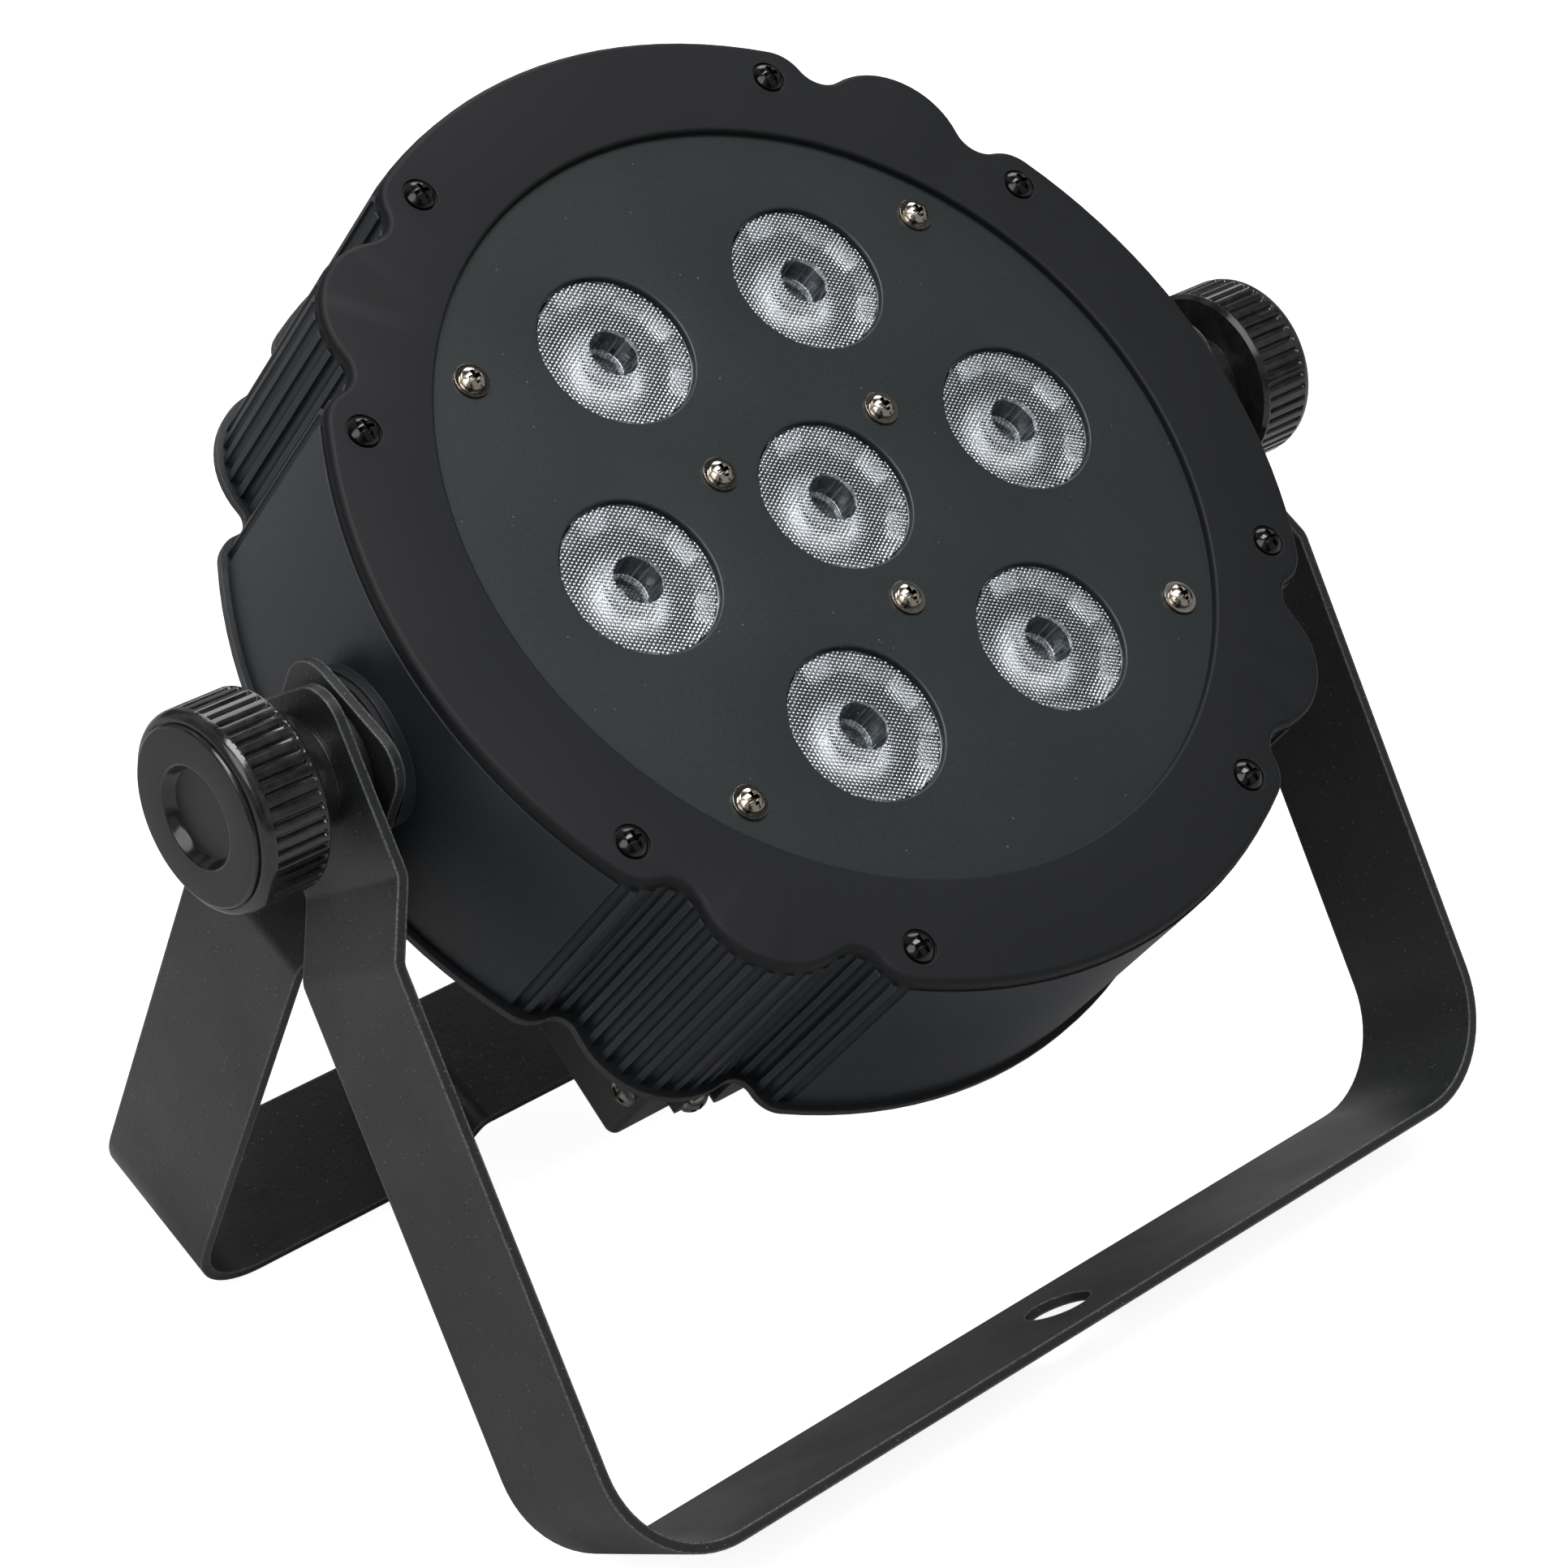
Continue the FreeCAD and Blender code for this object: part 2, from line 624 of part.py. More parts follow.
def rear_box():
    """Box on the back of the head, open towards the drum, with holes for all its fittings."""
    box = block((-BOX_HALF_WIDTH, BOX_HALF_WIDTH), (BOX_BOTTOM, BOX_TOP),
                (BOX_BACK, REAR_COVER_BACK))
    box = rounded_edges(box, BOX_CORNER, along_z)
    inside = block((-BOX_HALF_WIDTH + BOX_WALL, BOX_HALF_WIDTH - BOX_WALL),
                   (BOX_BOTTOM + BOX_WALL, BOX_TOP - BOX_WALL),
                   (BOX_INSIDE_BACK, REAR_COVER_BACK))
    box = box.cut(inside)
    holes = [
        power_hole(INLET_LENGTH, INLET_X),
        power_hole(OUTLET_LENGTH, OUTLET_X),
        centred_block(DISPLAY_WIDTH, DISPLAY_HEIGHT, BOX_BACK, BOX_INSIDE_BACK, 0, DISPLAY_Y),
    ]
    for x in BUTTON_X:
        holes.append(disc(BUTTON_RADIUS + 2 * RUNNING_GAP, BOX_BACK, BOX_INSIDE_BACK, x, BUTTON_Y))
    for x in (-XLR_X, XLR_X):
        holes.append(on_bottom(disc(XLR_BODY_RADIUS + RUNNING_GAP, -BOX_WALL, 0), x))
        for screw_x, screw_y in data_screw_places():
            holes.append(on_bottom(disc(SCREW_HOLE, -BOX_WALL, 0, screw_x, screw_y), x))
    for side in SIDES:
        for height in box_screw_heights():
            start = V(side * (BOX_HALF_WIDTH - BOX_WALL), height, BOX_SCREW_DEPTH)
            holes.append(Part.makeCylinder(SCREW_HOLE, BOX_WALL, start, V(side, 0, 0)))
    return box.cut(Part.makeCompound(holes))


# ---------------------------------------------------------------- optics

def lens_plate():
    """Round plate with a hole for every lens and every plate screw."""
    plate = disc(PLATE_RADIUS, PLATE_BACK, PLATE_FRONT)
    holes = [disc(LENS_HOLE, PLATE_BACK, PLATE_FRONT, x, y) for x, y in lens_places()]
    for x, y in outer_plate_places() + inner_plate_places():
        holes.append(disc(SCREW_HOLE, PLATE_BACK, PLATE_FRONT, x, y))
    plate = plate.cut(Part.makeCompound(holes))
    return rounded_edges(plate, LENS_RIM_ROUND, circle_at(LENS_HOLE, PLATE_FRONT))


def lens():
    """Moulded lens: flat face with a round recess, flange, cone and a pocket over the emitter."""
    flange_front = PLATE_BACK
    flange_back = PLATE_BACK - LENS_FLANGE_THICKNESS
    pocket_top = LENS_FOOT + LENS_POCKET_DEPTH
    recess_floor = LENS_FACE - LENS_RECESS_DEPTH
    return turned([
        (0, pocket_top),
        (LENS_POCKET_RADIUS - LENS_POCKET_TAPER, pocket_top - LENS_POCKET_TAPER),
        (LENS_POCKET_RADIUS, LENS_FOOT),
        (LENS_FOOT_RADIUS, LENS_FOOT),
        (LENS_SHOULDER_RADIUS, LENS_SHOULDER),
        (LENS_FACE_RADIUS, flange_back),
        (LENS_FLANGE_RADIUS, flange_back),
        (LENS_FLANGE_RADIUS, flange_front),
        (LENS_FACE_RADIUS, flange_front),
        (LENS_FACE_RADIUS, LENS_FACE),
        (LENS_RECESS_RADIUS, LENS_FACE),
        (LENS_RECESS_RADIUS - LENS_RECESS_TAPER, recess_floor),
        (0, recess_floor),
    ])


def lens_holder():
    """Moulded cup that stands on the lamp board and centres the lens."""
    seat = PLATE_BACK - LENS_FLANGE_THICKNESS
    rim = LENS_FACE_RADIUS + HOLDER_GAP
    return turned([
        (EMITTER_WIDTH, LAMP_BOARD_FRONT),
        (EMITTER_WIDTH, LENS_FOOT - HOLDER_GAP),
        (LENS_FOOT_RADIUS + HOLDER_GAP, LENS_FOOT - HOLDER_GAP),
        (LENS_SHOULDER_RADIUS + HOLDER_GAP, LENS_SHOULDER - HOLDER_GAP),
        (rim, seat),
        (rim + HOLDER_WALL, seat),
        (rim + HOLDER_WALL, LAMP_BOARD_FRONT),
    ])


def lamp_board():
    """Round aluminium-backed board with holes for the standoffs."""
    board = disc(LAMP_BOARD_RADIUS, SINK_FRONT, LAMP_BOARD_FRONT)
    holes = [disc(STANDOFF_RADIUS + STANDOFF_CLEARANCE, SINK_FRONT, LAMP_BOARD_FRONT, x, y)
             for x, y in inner_plate_places() + outer_plate_places()]
    return board.cut(Part.makeCompound(holes))


def emitter():
    """A square emitter with a clear dome."""
    top = LAMP_BOARD_FRONT + EMITTER_BASE
    base = centred_block(EMITTER_WIDTH, EMITTER_WIDTH, LAMP_BOARD_FRONT, top)
    dome = Part.makeSphere(EMITTER_DOME, V(0, 0, top), Z_AXIS, 0, 90, 360)
    return joined([base, dome])


def heat_sink():
    """Round plate with straight cooling fins on its back."""
    base = disc(SINK_RADIUS, SINK_BACK, SINK_FRONT)
    fins = []
    count = int((SINK_RADIUS - FIN_PITCH) / FIN_PITCH)
    for i in range(-count, count + 1):
        x = i * FIN_PITCH
        length = 2 * math.sqrt((SINK_RADIUS - SINK_EDGE) ** 2 - x ** 2)
        fins.append(centred_block(FIN_THICKNESS, length, SINK_BACK - FIN_DEPTH, SINK_BACK, x))
    return joined([base] + fins)


def plate_standoff():
    """Round spacer between the heat sink and the lens plate."""
    return ring(STANDOFF_RADIUS, SCREW_HOLE, SINK_FRONT, PLATE_BACK)


# ---------------------------------------------------------------- screws

def cross_recess(top, radius):
    """Cross-shaped driver recess, sunk from the top of a screw head of some radius."""
    reach = 2 * RECESS_SHARE * radius
    return joined([centred_block(RECESS_ARM, reach, top - RECESS_DEPTH, top),
                   centred_block(reach, RECESS_ARM, top - RECESS_DEPTH, top)])


def dome_arc(radius, base, top):
    """Quarter outline of a shallow dome whose centre lies on the Z axis."""
    rise = top - base
    ball = (radius ** 2 + rise ** 2) / (2 * rise)
    half_angle = math.asin(radius / ball) / 2
    middle = V(ball * math.sin(half_angle), 0, top - ball + ball * math.cos(half_angle))
    return Part.Arc(V(radius, 0, base), middle, V(0, 0, top)).toShape()


def pan_screw(length, washer_head=False):
    """Cross-recess screw standing along +Z with the underside of its head at zero."""
    base = WASHER_HEAD_THICKNESS if washer_head else 0.0
    step = WASHER_HEAD_STEP if washer_head else 0.0
    radius = HEAD_RADIUS - step
    side = base + HEAD_SIDE
    top = base + HEAD_HEIGHT - step
    crown = dome_arc(radius, side, top)
    corners = [V(0, 0, top), V(0, 0, -length), V(SCREW_RADIUS, 0, -length), V(SCREW_RADIUS, 0, 0)]
    if washer_head:
        corners += [V(WASHER_HEAD_RADIUS, 0, 0), V(WASHER_HEAD_RADIUS, 0, base)]
    corners += [V(radius, 0, base), V(radius, 0, side)]
    edges = [crown] + [Part.makeLine(a, b) for a, b in zip(corners, corners[1:])]
    profile = Part.Face(Part.Wire(Part.__sortEdges__(edges)))
    return profile.revolve(ORIGIN, Z_AXIS, 360).cut(cross_recess(top, radius)).Solids[0]


def screws_at(places, screw, depth):
    """Copies of a screw, its head seated at one depth."""
    return Part.makeCompound([moved(screw, x, y, depth) for x, y in places])


def rear_cover_screws():
    """Eight screws through the rear cover into the posts of the drum."""
    screw = spun(pan_screw(SCREW_LENGTH), 180, X_AXIS)
    return screws_at(rim_screw_places(), screw, REAR_COVER_BACK)


def box_screws():
    """Four screws through the sides of the box into the bent tabs."""
    screws = []
    for side in SIDES:
        for height in box_screw_heights():
            screw = spun(pan_screw(SHORT_SCREW_LENGTH), side * 90, Y_AXIS)
            screws.append(moved(screw, side * BOX_HALF_WIDTH, height, BOX_SCREW_DEPTH))
    return Part.makeCompound(screws)


# ---------------------------------------------------------------- pivots and knobs

def on_both_sides(make):
    """Two copies of a pivot fitting, one at each end of the pivot line."""
    return Part.makeCompound([make(side) for side in SIDES])


def pivot_insert(side):
    """Metal bush in the drum's boss that the knob's stud screws into."""
    return pivot_ring(PIVOT_INSERT_RADIUS, STUD_HOLE, BOSS_INNER_END, PAD_FACE, side)


def friction_pad(side):
    """Thin round pad between the drum and the rear bracket."""
    return pivot_ring(FRICTION_PAD_RADIUS, STUD_HOLE, PAD_FACE,
                      PAD_FACE + FRICTION_PAD_THICKNESS, side)


def spacer_washer(side):
    """Thick washer that fills the gap between the ears of the two brackets."""
    return pivot_ring(SPACER_RADIUS, STUD_HOLE, REAR_EAR + RUNNING_GAP,
                      FRONT_EAR - STRIP_THICKNESS, side)


def thrust_washer(side):
    """Washer between the front bracket and the knob."""
    inner = FRONT_EAR + RUNNING_GAP
    return pivot_ring(THRUST_WASHER_RADIUS, STUD_HOLE, inner,
                      inner + THRUST_WASHER_THICKNESS, side)


def knob_seat():
    """Where the knob's collar meets its washer."""
    return FRONT_EAR + THRUST_WASHER_THICKNESS + 2 * RUNNING_GAP


def hexagon(flats, inner, outer, side):
    """Six-sided bar on the pivot line."""
    corner = flats / math.sqrt(3)
    points = [V(side * inner, *polar(corner, 60 * i)) for i in range(7)]
    return Part.Face(Part.makePolygon(points)).extrude(V(side * (outer - inner), 0, 0))


def knob_stud(side):
    """Stud with a hexagonal head that sits in the knob."""
    shank = pivot_rod(STUD_RADIUS, STUD_INNER_END, KNOB_INNER, side)
    head = hexagon(STUD_HEAD_FLATS, KNOB_INNER, KNOB_INNER + STUD_HEAD_THICKNESS, side)
    return joined([shank, head])


def knob(side):
    """Round knurled knob with a collar, a stepped rim and a dished face."""
    seat = knob_seat()
    step = KNURL_END + KNOB_EDGE
    profile = turned([
        (0, seat),
        (KNOB_COLLAR_RADIUS, seat),
        (KNOB_COLLAR_RADIUS, KNOB_INNER),
        (KNOB_RADIUS - KNOB_EDGE, KNOB_INNER),
        (KNOB_RADIUS, KNOB_INNER + KNOB_EDGE),
        (KNOB_RADIUS, step - KNOB_EDGE / 2),
        (KNOB_RADIUS - KNOB_EDGE / 2, step),
        (KNOB_RADIUS - KNOB_EDGE, step + KNOB_EDGE / 2),
        (KNOB_FACE_RADIUS + KNOB_FACE_EDGE, KNOB_OUTER - KNOB_FACE_EDGE),
        (KNOB_FACE_RADIUS, KNOB_OUTER),
        (KNOB_RECESS_RADIUS, KNOB_OUTER),
        (KNOB_RECESS_FLOOR, KNOB_OUTER - KNOB_RECESS_DEPTH),
        (0, KNOB_OUTER - KNOB_RECESS_DEPTH),
    ])
    grooves = [disc(KNURL_RADIUS, KNURL_START, KNURL_END, *polar(KNURL_RING, a))
               for a in (360.0 * i / KNURL_COUNT for i in range(KNURL_COUNT))]
    profile = profile.cut(Part.makeCompound(grooves))
    shape = spun(profile, side * 90, Y_AXIS)
    stud_space = [pivot_rod(STUD_RADIUS, seat, KNOB_INNER, side),
                  hexagon(STUD_HEAD_FLATS, KNOB_INNER, KNOB_INNER + STUD_HEAD_THICKNESS, side)]
    return shape.cut(Part.makeCompound(stud_space))


# ---------------------------------------------------------------- brackets

def offset_corner(before, corner, after, distance):
    """The corner of a path moved sideways to the path's left by a distance."""
    first = (corner - before).normalize()
    second = (after - corner).normalize()
    left = V(-first.y, first.x, 0) + V(-second.y, second.x, 0)
    left.normalize()
    half_turn = math.acos(max(-1.0, min(1.0, first.dot(second)))) / 2
    return corner + left * (distance / math.cos(half_turn))


def side_path(points, distance):
    """The path moved sideways to its left, with mitred corners."""
    start_step = (points[1] - points[0]).normalize()
    end_step = (points[-1] - points[-2]).normalize()
    first = points[0] + V(-start_step.y, start_step.x, 0) * distance
    last = points[-1] + V(-end_step.y, end_step.x, 0) * distance
    middle = [offset_corner(a, b, c, distance) for a, b, c in zip(points, points[1:], points[2:])]
    return [first] + middle + [last]


def rounded_path(points, radii):
    """Straight edges joined by tangent arcs of the given radii at the inner corners."""
    edges = []
    start = points[0]
    for before, corner, after, radius in zip(points, points[1:], points[2:], radii):
        into = (corner - before).normalize()
        away = (after - corner).normalize()
        turn = math.acos(max(-1.0, min(1.0, into.dot(away))))
        setback = radius * math.tan(turn / 2)
        arc_start = corner - into * setback
        arc_end = corner + away * setback
        inward = (away - into).normalize()
        middle = corner + inward * (radius / math.cos(turn / 2) - radius)
        edges.append(Part.makeLine(start, arc_start))
        edges.append(Part.Arc(arc_start, middle, arc_end).toShape())
        start = arc_end
    edges.append(Part.makeLine(start, points[-1]))
    return edges


def strip(outer_points, inner_radii):
    """Bent flat strip: the outer face follows the points, the metal lies to their left."""
    inner_points = side_path(outer_points, STRIP_THICKNESS)
    outer_radii = []
    inner_arcs = []
    for a, b, c, radius in zip(outer_points, outer_points[1:], outer_points[2:], inner_radii):
        turns_left = (b - a).cross(c - b).z > 0
        outer_radii.append(radius + STRIP_THICKNESS if turns_left else radius)
        inner_arcs.append(radius if turns_left else radius + STRIP_THICKNESS)
    edges = rounded_path(outer_points, outer_radii) + rounded_path(inner_points, inner_arcs)
    edges.append(Part.makeLine(outer_points[0], inner_points[0]))
    edges.append(Part.makeLine(outer_points[-1], inner_points[-1]))
    section = Part.Face(Part.Wire(Part.__sortEdges__(edges)))
    flat = section.extrude(V(0, 0, STRIP_WIDTH))
    flat.translate(V(0, 0, -STRIP_WIDTH / 2))
    return spun(flat, 90, X_AXIS)


def eared(bracket):
    """Round the top corners of both ears and drill them for the studs."""
    reach = 2 * FRONT_ARM
    half = STRIP_WIDTH / 2
    keep = block((-reach, reach), (-half, half), (-2 * FRONT_BAR, EAR_TOP))
    keep = rounded_edges(keep, EAR_CORNER, lambda edge: all_at_depth(EAR_TOP)(edge) and along_x(edge))
    bracket = bracket.common(keep)
    return bracket.cut(Part.makeCylinder(STUD_HOLE, 2 * reach, V(-reach, 0, 0), X_AXIS)).Solids[0]


def mirrored_path(half):
    """A path from the left ear down and across to the right ear, given its right half."""
    right = [V(x, -drop, 0) for x, drop in half]
    left = [V(-x, -drop, 0) for x, drop in reversed(half)]
    return left + right


def bar_hole(bracket, bar_outer):
    """Drill the mounting hole through the middle of a bar."""
    hole = disc(MOUNTING_HOLE_RADIUS, -bar_outer, STRIP_THICKNESS - bar_outer)
    return bracket.cut(hole)


def front_bracket():
    """Outer bracket: plain bar with a mounting hole, arms joggled outwards from the ears."""
    half = [(FRONT_ARM, FRONT_BAR), (FRONT_ARM, FRONT_BEND_END),
            (FRONT_EAR, FRONT_BEND_START), (FRONT_EAR, -EAR_TOP)]
    inner_corner = FRONT_CORNER - STRIP_THICKNESS
    radii = [BEND_RADIUS, BEND_RADIUS, inner_corner, inner_corner, BEND_RADIUS, BEND_RADIUS]
    bracket = eared(strip(mirrored_path(half), radii))
    return bar_hole(bracket, FRONT_BAR)


def rear_bracket():
    """Inner bracket: nests inside the front one, the middle of its bar raised."""
    raised_end = RAISED_HALF_WIDTH + RAISED_SLOPE_RUN
    raised_bar = REAR_BAR - RAISED_HEIGHT
    half = [(RAISED_HALF_WIDTH, raised_bar), (raised_end, REAR_BAR), (REAR_ARM, REAR_BAR),
            (REAR_ARM, REAR_BEND_END), (REAR_EAR, REAR_BEND_START),
            (REAR_EAR, -EAR_TOP)]
    inner_corner = REAR_CORNER - STRIP_THICKNESS
    half_radii = [BEND_RADIUS, BEND_RADIUS, inner_corner, BEND_RADIUS, BEND_RADIUS]
    radii = list(reversed(half_radii)) + half_radii
    bracket = eared(strip(mirrored_path(half), radii))
    return bar_hole(bracket, raised_bar)


# ---------------------------------------------------------------- sockets

def on_bottom(shape, x):
    """Put a fitting drawn along +Z onto the bottom face of the box, pointing down."""
    return moved(spun(shape, 90, X_AXIS), x, BOX_BOTTOM, XLR_DEPTH)


def data_screw_places():
    """The two screws at opposite corners of a data socket's flange."""
    return [(-XLR_SCREW_X, -XLR_SCREW_Y), (XLR_SCREW_X, XLR_SCREW_Y)]


def data_shell():
    """Flange, raised square collar and round body of a three-pin data socket."""
    flange = centred_block(XLR_FLANGE_LONG, XLR_FLANGE_SHORT, 0, XLR_FLANGE_THICKNESS)
    flange = rounded_edges(flange, XLR_FLANGE_CORNER, along_z)
    collar = centred_block(XLR_COLLAR_WIDTH, XLR_COLLAR_WIDTH, 0, XLR_COLLAR_HEIGHT)
    collar = rounded_edges(collar, XLR_COLLAR_CORNER, along_z)
    body = disc(XLR_BODY_RADIUS, -XLR_BODY_DEPTH, 0)
    holes = [disc(SCREW_HOLE, 0, XLR_FLANGE_THICKNESS, x, y) for x, y in data_screw_places()]
    return joined([flange, collar, body]).cut(Part.makeCompound(holes))


def socket_screws():
    """Two screws in the flange of each data socket."""
    screw = pan_screw(SHORT_SCREW_LENGTH)
    screws = []
    for socket_x in (-XLR_X, XLR_X):
        for x, y in data_screw_places():
            screws.append(on_bottom(moved(screw, x, y, XLR_FLANGE_THICKNESS), socket_x))
    return Part.makeCompound(screws)


def data_pin_places():
    """Three contacts on an arc."""
    return [polar(XLR_PIN_RING, angle) for angle in (0, 180, 270)]


def data_inlet():
    """Male data socket: an open mouth with pins in it."""
    mouth = disc(XLR_MOUTH_RADIUS, XLR_COLLAR_HEIGHT - XLR_MOUTH_DEPTH, XLR_COLLAR_HEIGHT)
    pins = [disc(XLR_PIN_RADIUS, -XLR_BODY_DEPTH, 0, x, y) for x, y in data_pin_places()]
    return on_bottom(data_shell().cut(mouth).cut(Part.makeCompound(pins)), -XLR_X)


def data_pins():
    """Three round pins, standing in the male data socket."""
    tip = XLR_COLLAR_HEIGHT - XLR_PIN_SET_BACK
    tail = -XLR_BODY_DEPTH - SOLDER_TAIL
    pins = [disc(XLR_PIN_RADIUS, tail, tip, x, y) for x, y in data_pin_places()]
    return on_bottom(Part.makeCompound(pins), -XLR_X)


def latch_space(gap):
    """Room for the latch button at the edge of the female data socket."""
    middle = XLR_BODY_RADIUS - LATCH_THICKNESS / 2 - 4 * LATCH_GAP
    return centred_block(LATCH_WIDTH + 2 * gap, LATCH_THICKNESS + 2 * gap, -LATCH_DEPTH,
                         XLR_COLLAR_HEIGHT, 0, middle)


def data_outlet():
    """Female data socket: a ring-shaped groove round a block with three holes."""
    top = XLR_COLLAR_HEIGHT
    outer = XLR_MOUTH_RADIUS - XLR_GROOVE_INSET
    groove = ring(outer, outer - XLR_GROOVE_WIDTH, top - XLR_GROOVE_DEPTH, top)
    holes = [disc(XLR_PIN_RADIUS + XLR_CONTACT_CLEARANCE, top - XLR_MOUTH_DEPTH, top, -x, y)
             for x, y in data_pin_places()]
    shell = data_shell().cut(Part.makeCompound([groove] + holes))
    return on_bottom(shell.cut(latch_space(LATCH_GAP)), XLR_X)


def data_latch():
    """Push tab that frees the plug of the female data socket."""
    body = disc(XLR_BODY_RADIUS - 2 * LATCH_GAP, LATCH_TRAVEL_ROOM - LATCH_DEPTH, XLR_COLLAR_HEIGHT)
    tab = latch_space(0).common(body)
    return on_bottom(moved(tab, z=LATCH_RISE), XLR_X)


def power_shell(length, x):
    """Flange and body of a mains socket, drawn in place on the back of the box."""
    flange = centred_block(length, POWER_HEIGHT, BOX_BACK - POWER_FLANGE, BOX_BACK, x, POWER_Y)
    flange = rounded_edges(flange, POWER_CORNER, along_z)
    body = centred_block(length - 2 * POWER_EDGE, POWER_HEIGHT - 2 * POWER_EDGE, BOX_BACK,
                         BOX_BACK + POWER_BODY_DEPTH, x, POWER_Y)
    return joined([flange, body])


def mouth_place():
    """Middle of the plug opening and of the fuse drawer in the mains inlet."""
    mouth_x = INLET_X - INLET_LENGTH / 2 + MOUTH_MARGIN + MOUTH_WIDTH / 2
    drawer_x = INLET_X + INLET_LENGTH / 2 - DRAWER_MARGIN - FUSE_DRAWER_WIDTH / 2
    return mouth_x, drawer_x


def inlet_pin_places():
    """Three flat blades in a triangle."""
    mouth_x = mouth_place()[0]
    return [(mouth_x - BLADE_SPREAD_X, POWER_Y - BLADE_SPREAD_Y),
            (mouth_x - BLADE_SPREAD_X, POWER_Y + BLADE_SPREAD_Y),
            (mouth_x + BLADE_SPREAD_X, POWER_Y)]


def power_inlet():
    """Mains inlet with a plug opening beside a fuse drawer opening."""
    face = BOX_BACK - POWER_FLANGE
    mouth_x, drawer_x = mouth_place()
    mouth = centred_block(MOUTH_WIDTH, MOUTH_HEIGHT, face, face + MOUTH_DEPTH, mouth_x, POWER_Y)
    mouth = rounded_edges(mouth, MOUTH_CORNER, along_z)
    drawer = centred_block(FUSE_DRAWER_WIDTH + 2 * DRAWER_GAP, FUSE_DRAWER_HEIGHT + 2 * DRAWER_GAP,
                           face, face + FUSE_DRAWER_DEPTH + 5 * DRAWER_GAP, drawer_x, POWER_Y)
    tail = BOX_BACK + POWER_BODY_DEPTH
    blades = [centred_block(BLADE_WIDTH, BLADE_HEIGHT, face, tail, x, y)
              for x, y in inlet_pin_places()]
    return power_shell(INLET_LENGTH, INLET_X).cut(Part.makeCompound([mouth, drawer] + blades))


def power_pins():
    """Three blades standing in the mains inlet, with solder tails behind it."""
    tip = BOX_BACK - POWER_FLANGE + BLADE_SET_BACK
    blades = [centred_block(BLADE_WIDTH, BLADE_HEIGHT, tip, power_tail(), x, y)
              for x, y in inlet_pin_places()]
    return Part.makeCompound(blades)


def power_tail():
    """Depth where the solder tails of the mains inlet end."""
    return BOX_BACK + POWER_BODY_DEPTH + SOLDER_TAIL


def fuse_drawer():
    """Small drawer that carries the fuse, with a finger lip on its front."""
    face = BOX_BACK - POWER_FLANGE
    x = mouth_place()[1]
    drawer = centred_block(FUSE_DRAWER_WIDTH, FUSE_DRAWER_HEIGHT, face,
                           face + FUSE_DRAWER_DEPTH, x, POWER_Y)
    lip = centred_block(FUSE_DRAWER_WIDTH - FUSE_LIP_HEIGHT, FUSE_LIP_HEIGHT,
                        face - FUSE_LIP_REACH, face, x, POWER_Y + FUSE_LIP_RISE)
    return joined([drawer, lip])


def power_outlet():
    """Mains link outlet: a block with three slots inside a shaped groove."""
    face = BOX_BACK - POWER_FLANGE
    mouth = centred_block(MOUTH_WIDTH, MOUTH_HEIGHT, face, face + MOUTH_DEPTH, OUTLET_X, POWER_Y)
    mouth = rounded_edges(mouth, MOUTH_CORNER, along_z)
    island = centred_block(MOUTH_WIDTH - 2 * ISLAND_GAP, MOUTH_HEIGHT - 2 * ISLAND_GAP,
                           face, face + MOUTH_DEPTH, OUTLET_X, POWER_Y)
    island = rounded_edges(island, POWER_CORNER, along_z)
    shift = OUTLET_X - mouth_place()[0]
    slots = [centred_block(BLADE_WIDTH + 2 * DRAWER_GAP, BLADE_HEIGHT + 2 * DRAWER_GAP,
                           face, face + MOUTH_DEPTH, x + shift, y)
             for x, y in inlet_pin_places()]
    island = island.cut(Part.makeCompound(slots))
    return joined([power_shell(OUTLET_LENGTH, OUTLET_X).cut(mouth), island])


# ---------------------------------------------------------------- boards and menu

def loaded_board(bottom, top, parts):
    """Circuit board with its soldered parts."""
    board = block((-BOARD_HALF_WIDTH, BOARD_HALF_WIDTH), (bottom, top), (BOARD_BACK, BOARD_FRONT))
    return joined([board] + parts)


def supply_board():
    """Mains supply board with a filter block and a row of small parts."""
    parts = [
        centred_block(*FILTER_SIZE, BOARD_FRONT, BOARD_FRONT + FILTER_HEIGHT, *FILTER_PLACE),
        centred_block(*RECTIFIER_SIZE, BOARD_FRONT, BOARD_FRONT + RECTIFIER_HEIGHT, *RECTIFIER_PLACE),
    ]
    for x in CAPACITOR_X:
        parts.append(disc(CAPACITOR_RADIUS, BOARD_FRONT, BOARD_FRONT + CAPACITOR_HEIGHT,
                          x, CAPACITOR_Y))
    can_start = V(*RESERVOIR_START, BOARD_BACK + RESERVOIR_SINK - RESERVOIR_RADIUS)
    parts.append(Part.makeCylinder(RESERVOIR_RADIUS, RESERVOIR_LENGTH, can_start, X_AXIS))
    return loaded_board(SUPPLY_BOTTOM, SUPPLY_TOP, parts)


def driver_board():
    """Lamp driver board with a coil for each colour channel."""
    parts = []
    for x in CHANNEL_X:
        parts.append(disc(COIL_RADIUS, BOARD_FRONT, BOARD_FRONT + COIL_HEIGHT, x, COIL_Y))
        parts.append(centred_block(*CHIP_SIZE, BOARD_FRONT, BOARD_FRONT + CHIP_HEIGHT, x, CHIP_Y))
    return loaded_board(DRIVER_BOTTOM, DRIVER_TOP, parts)


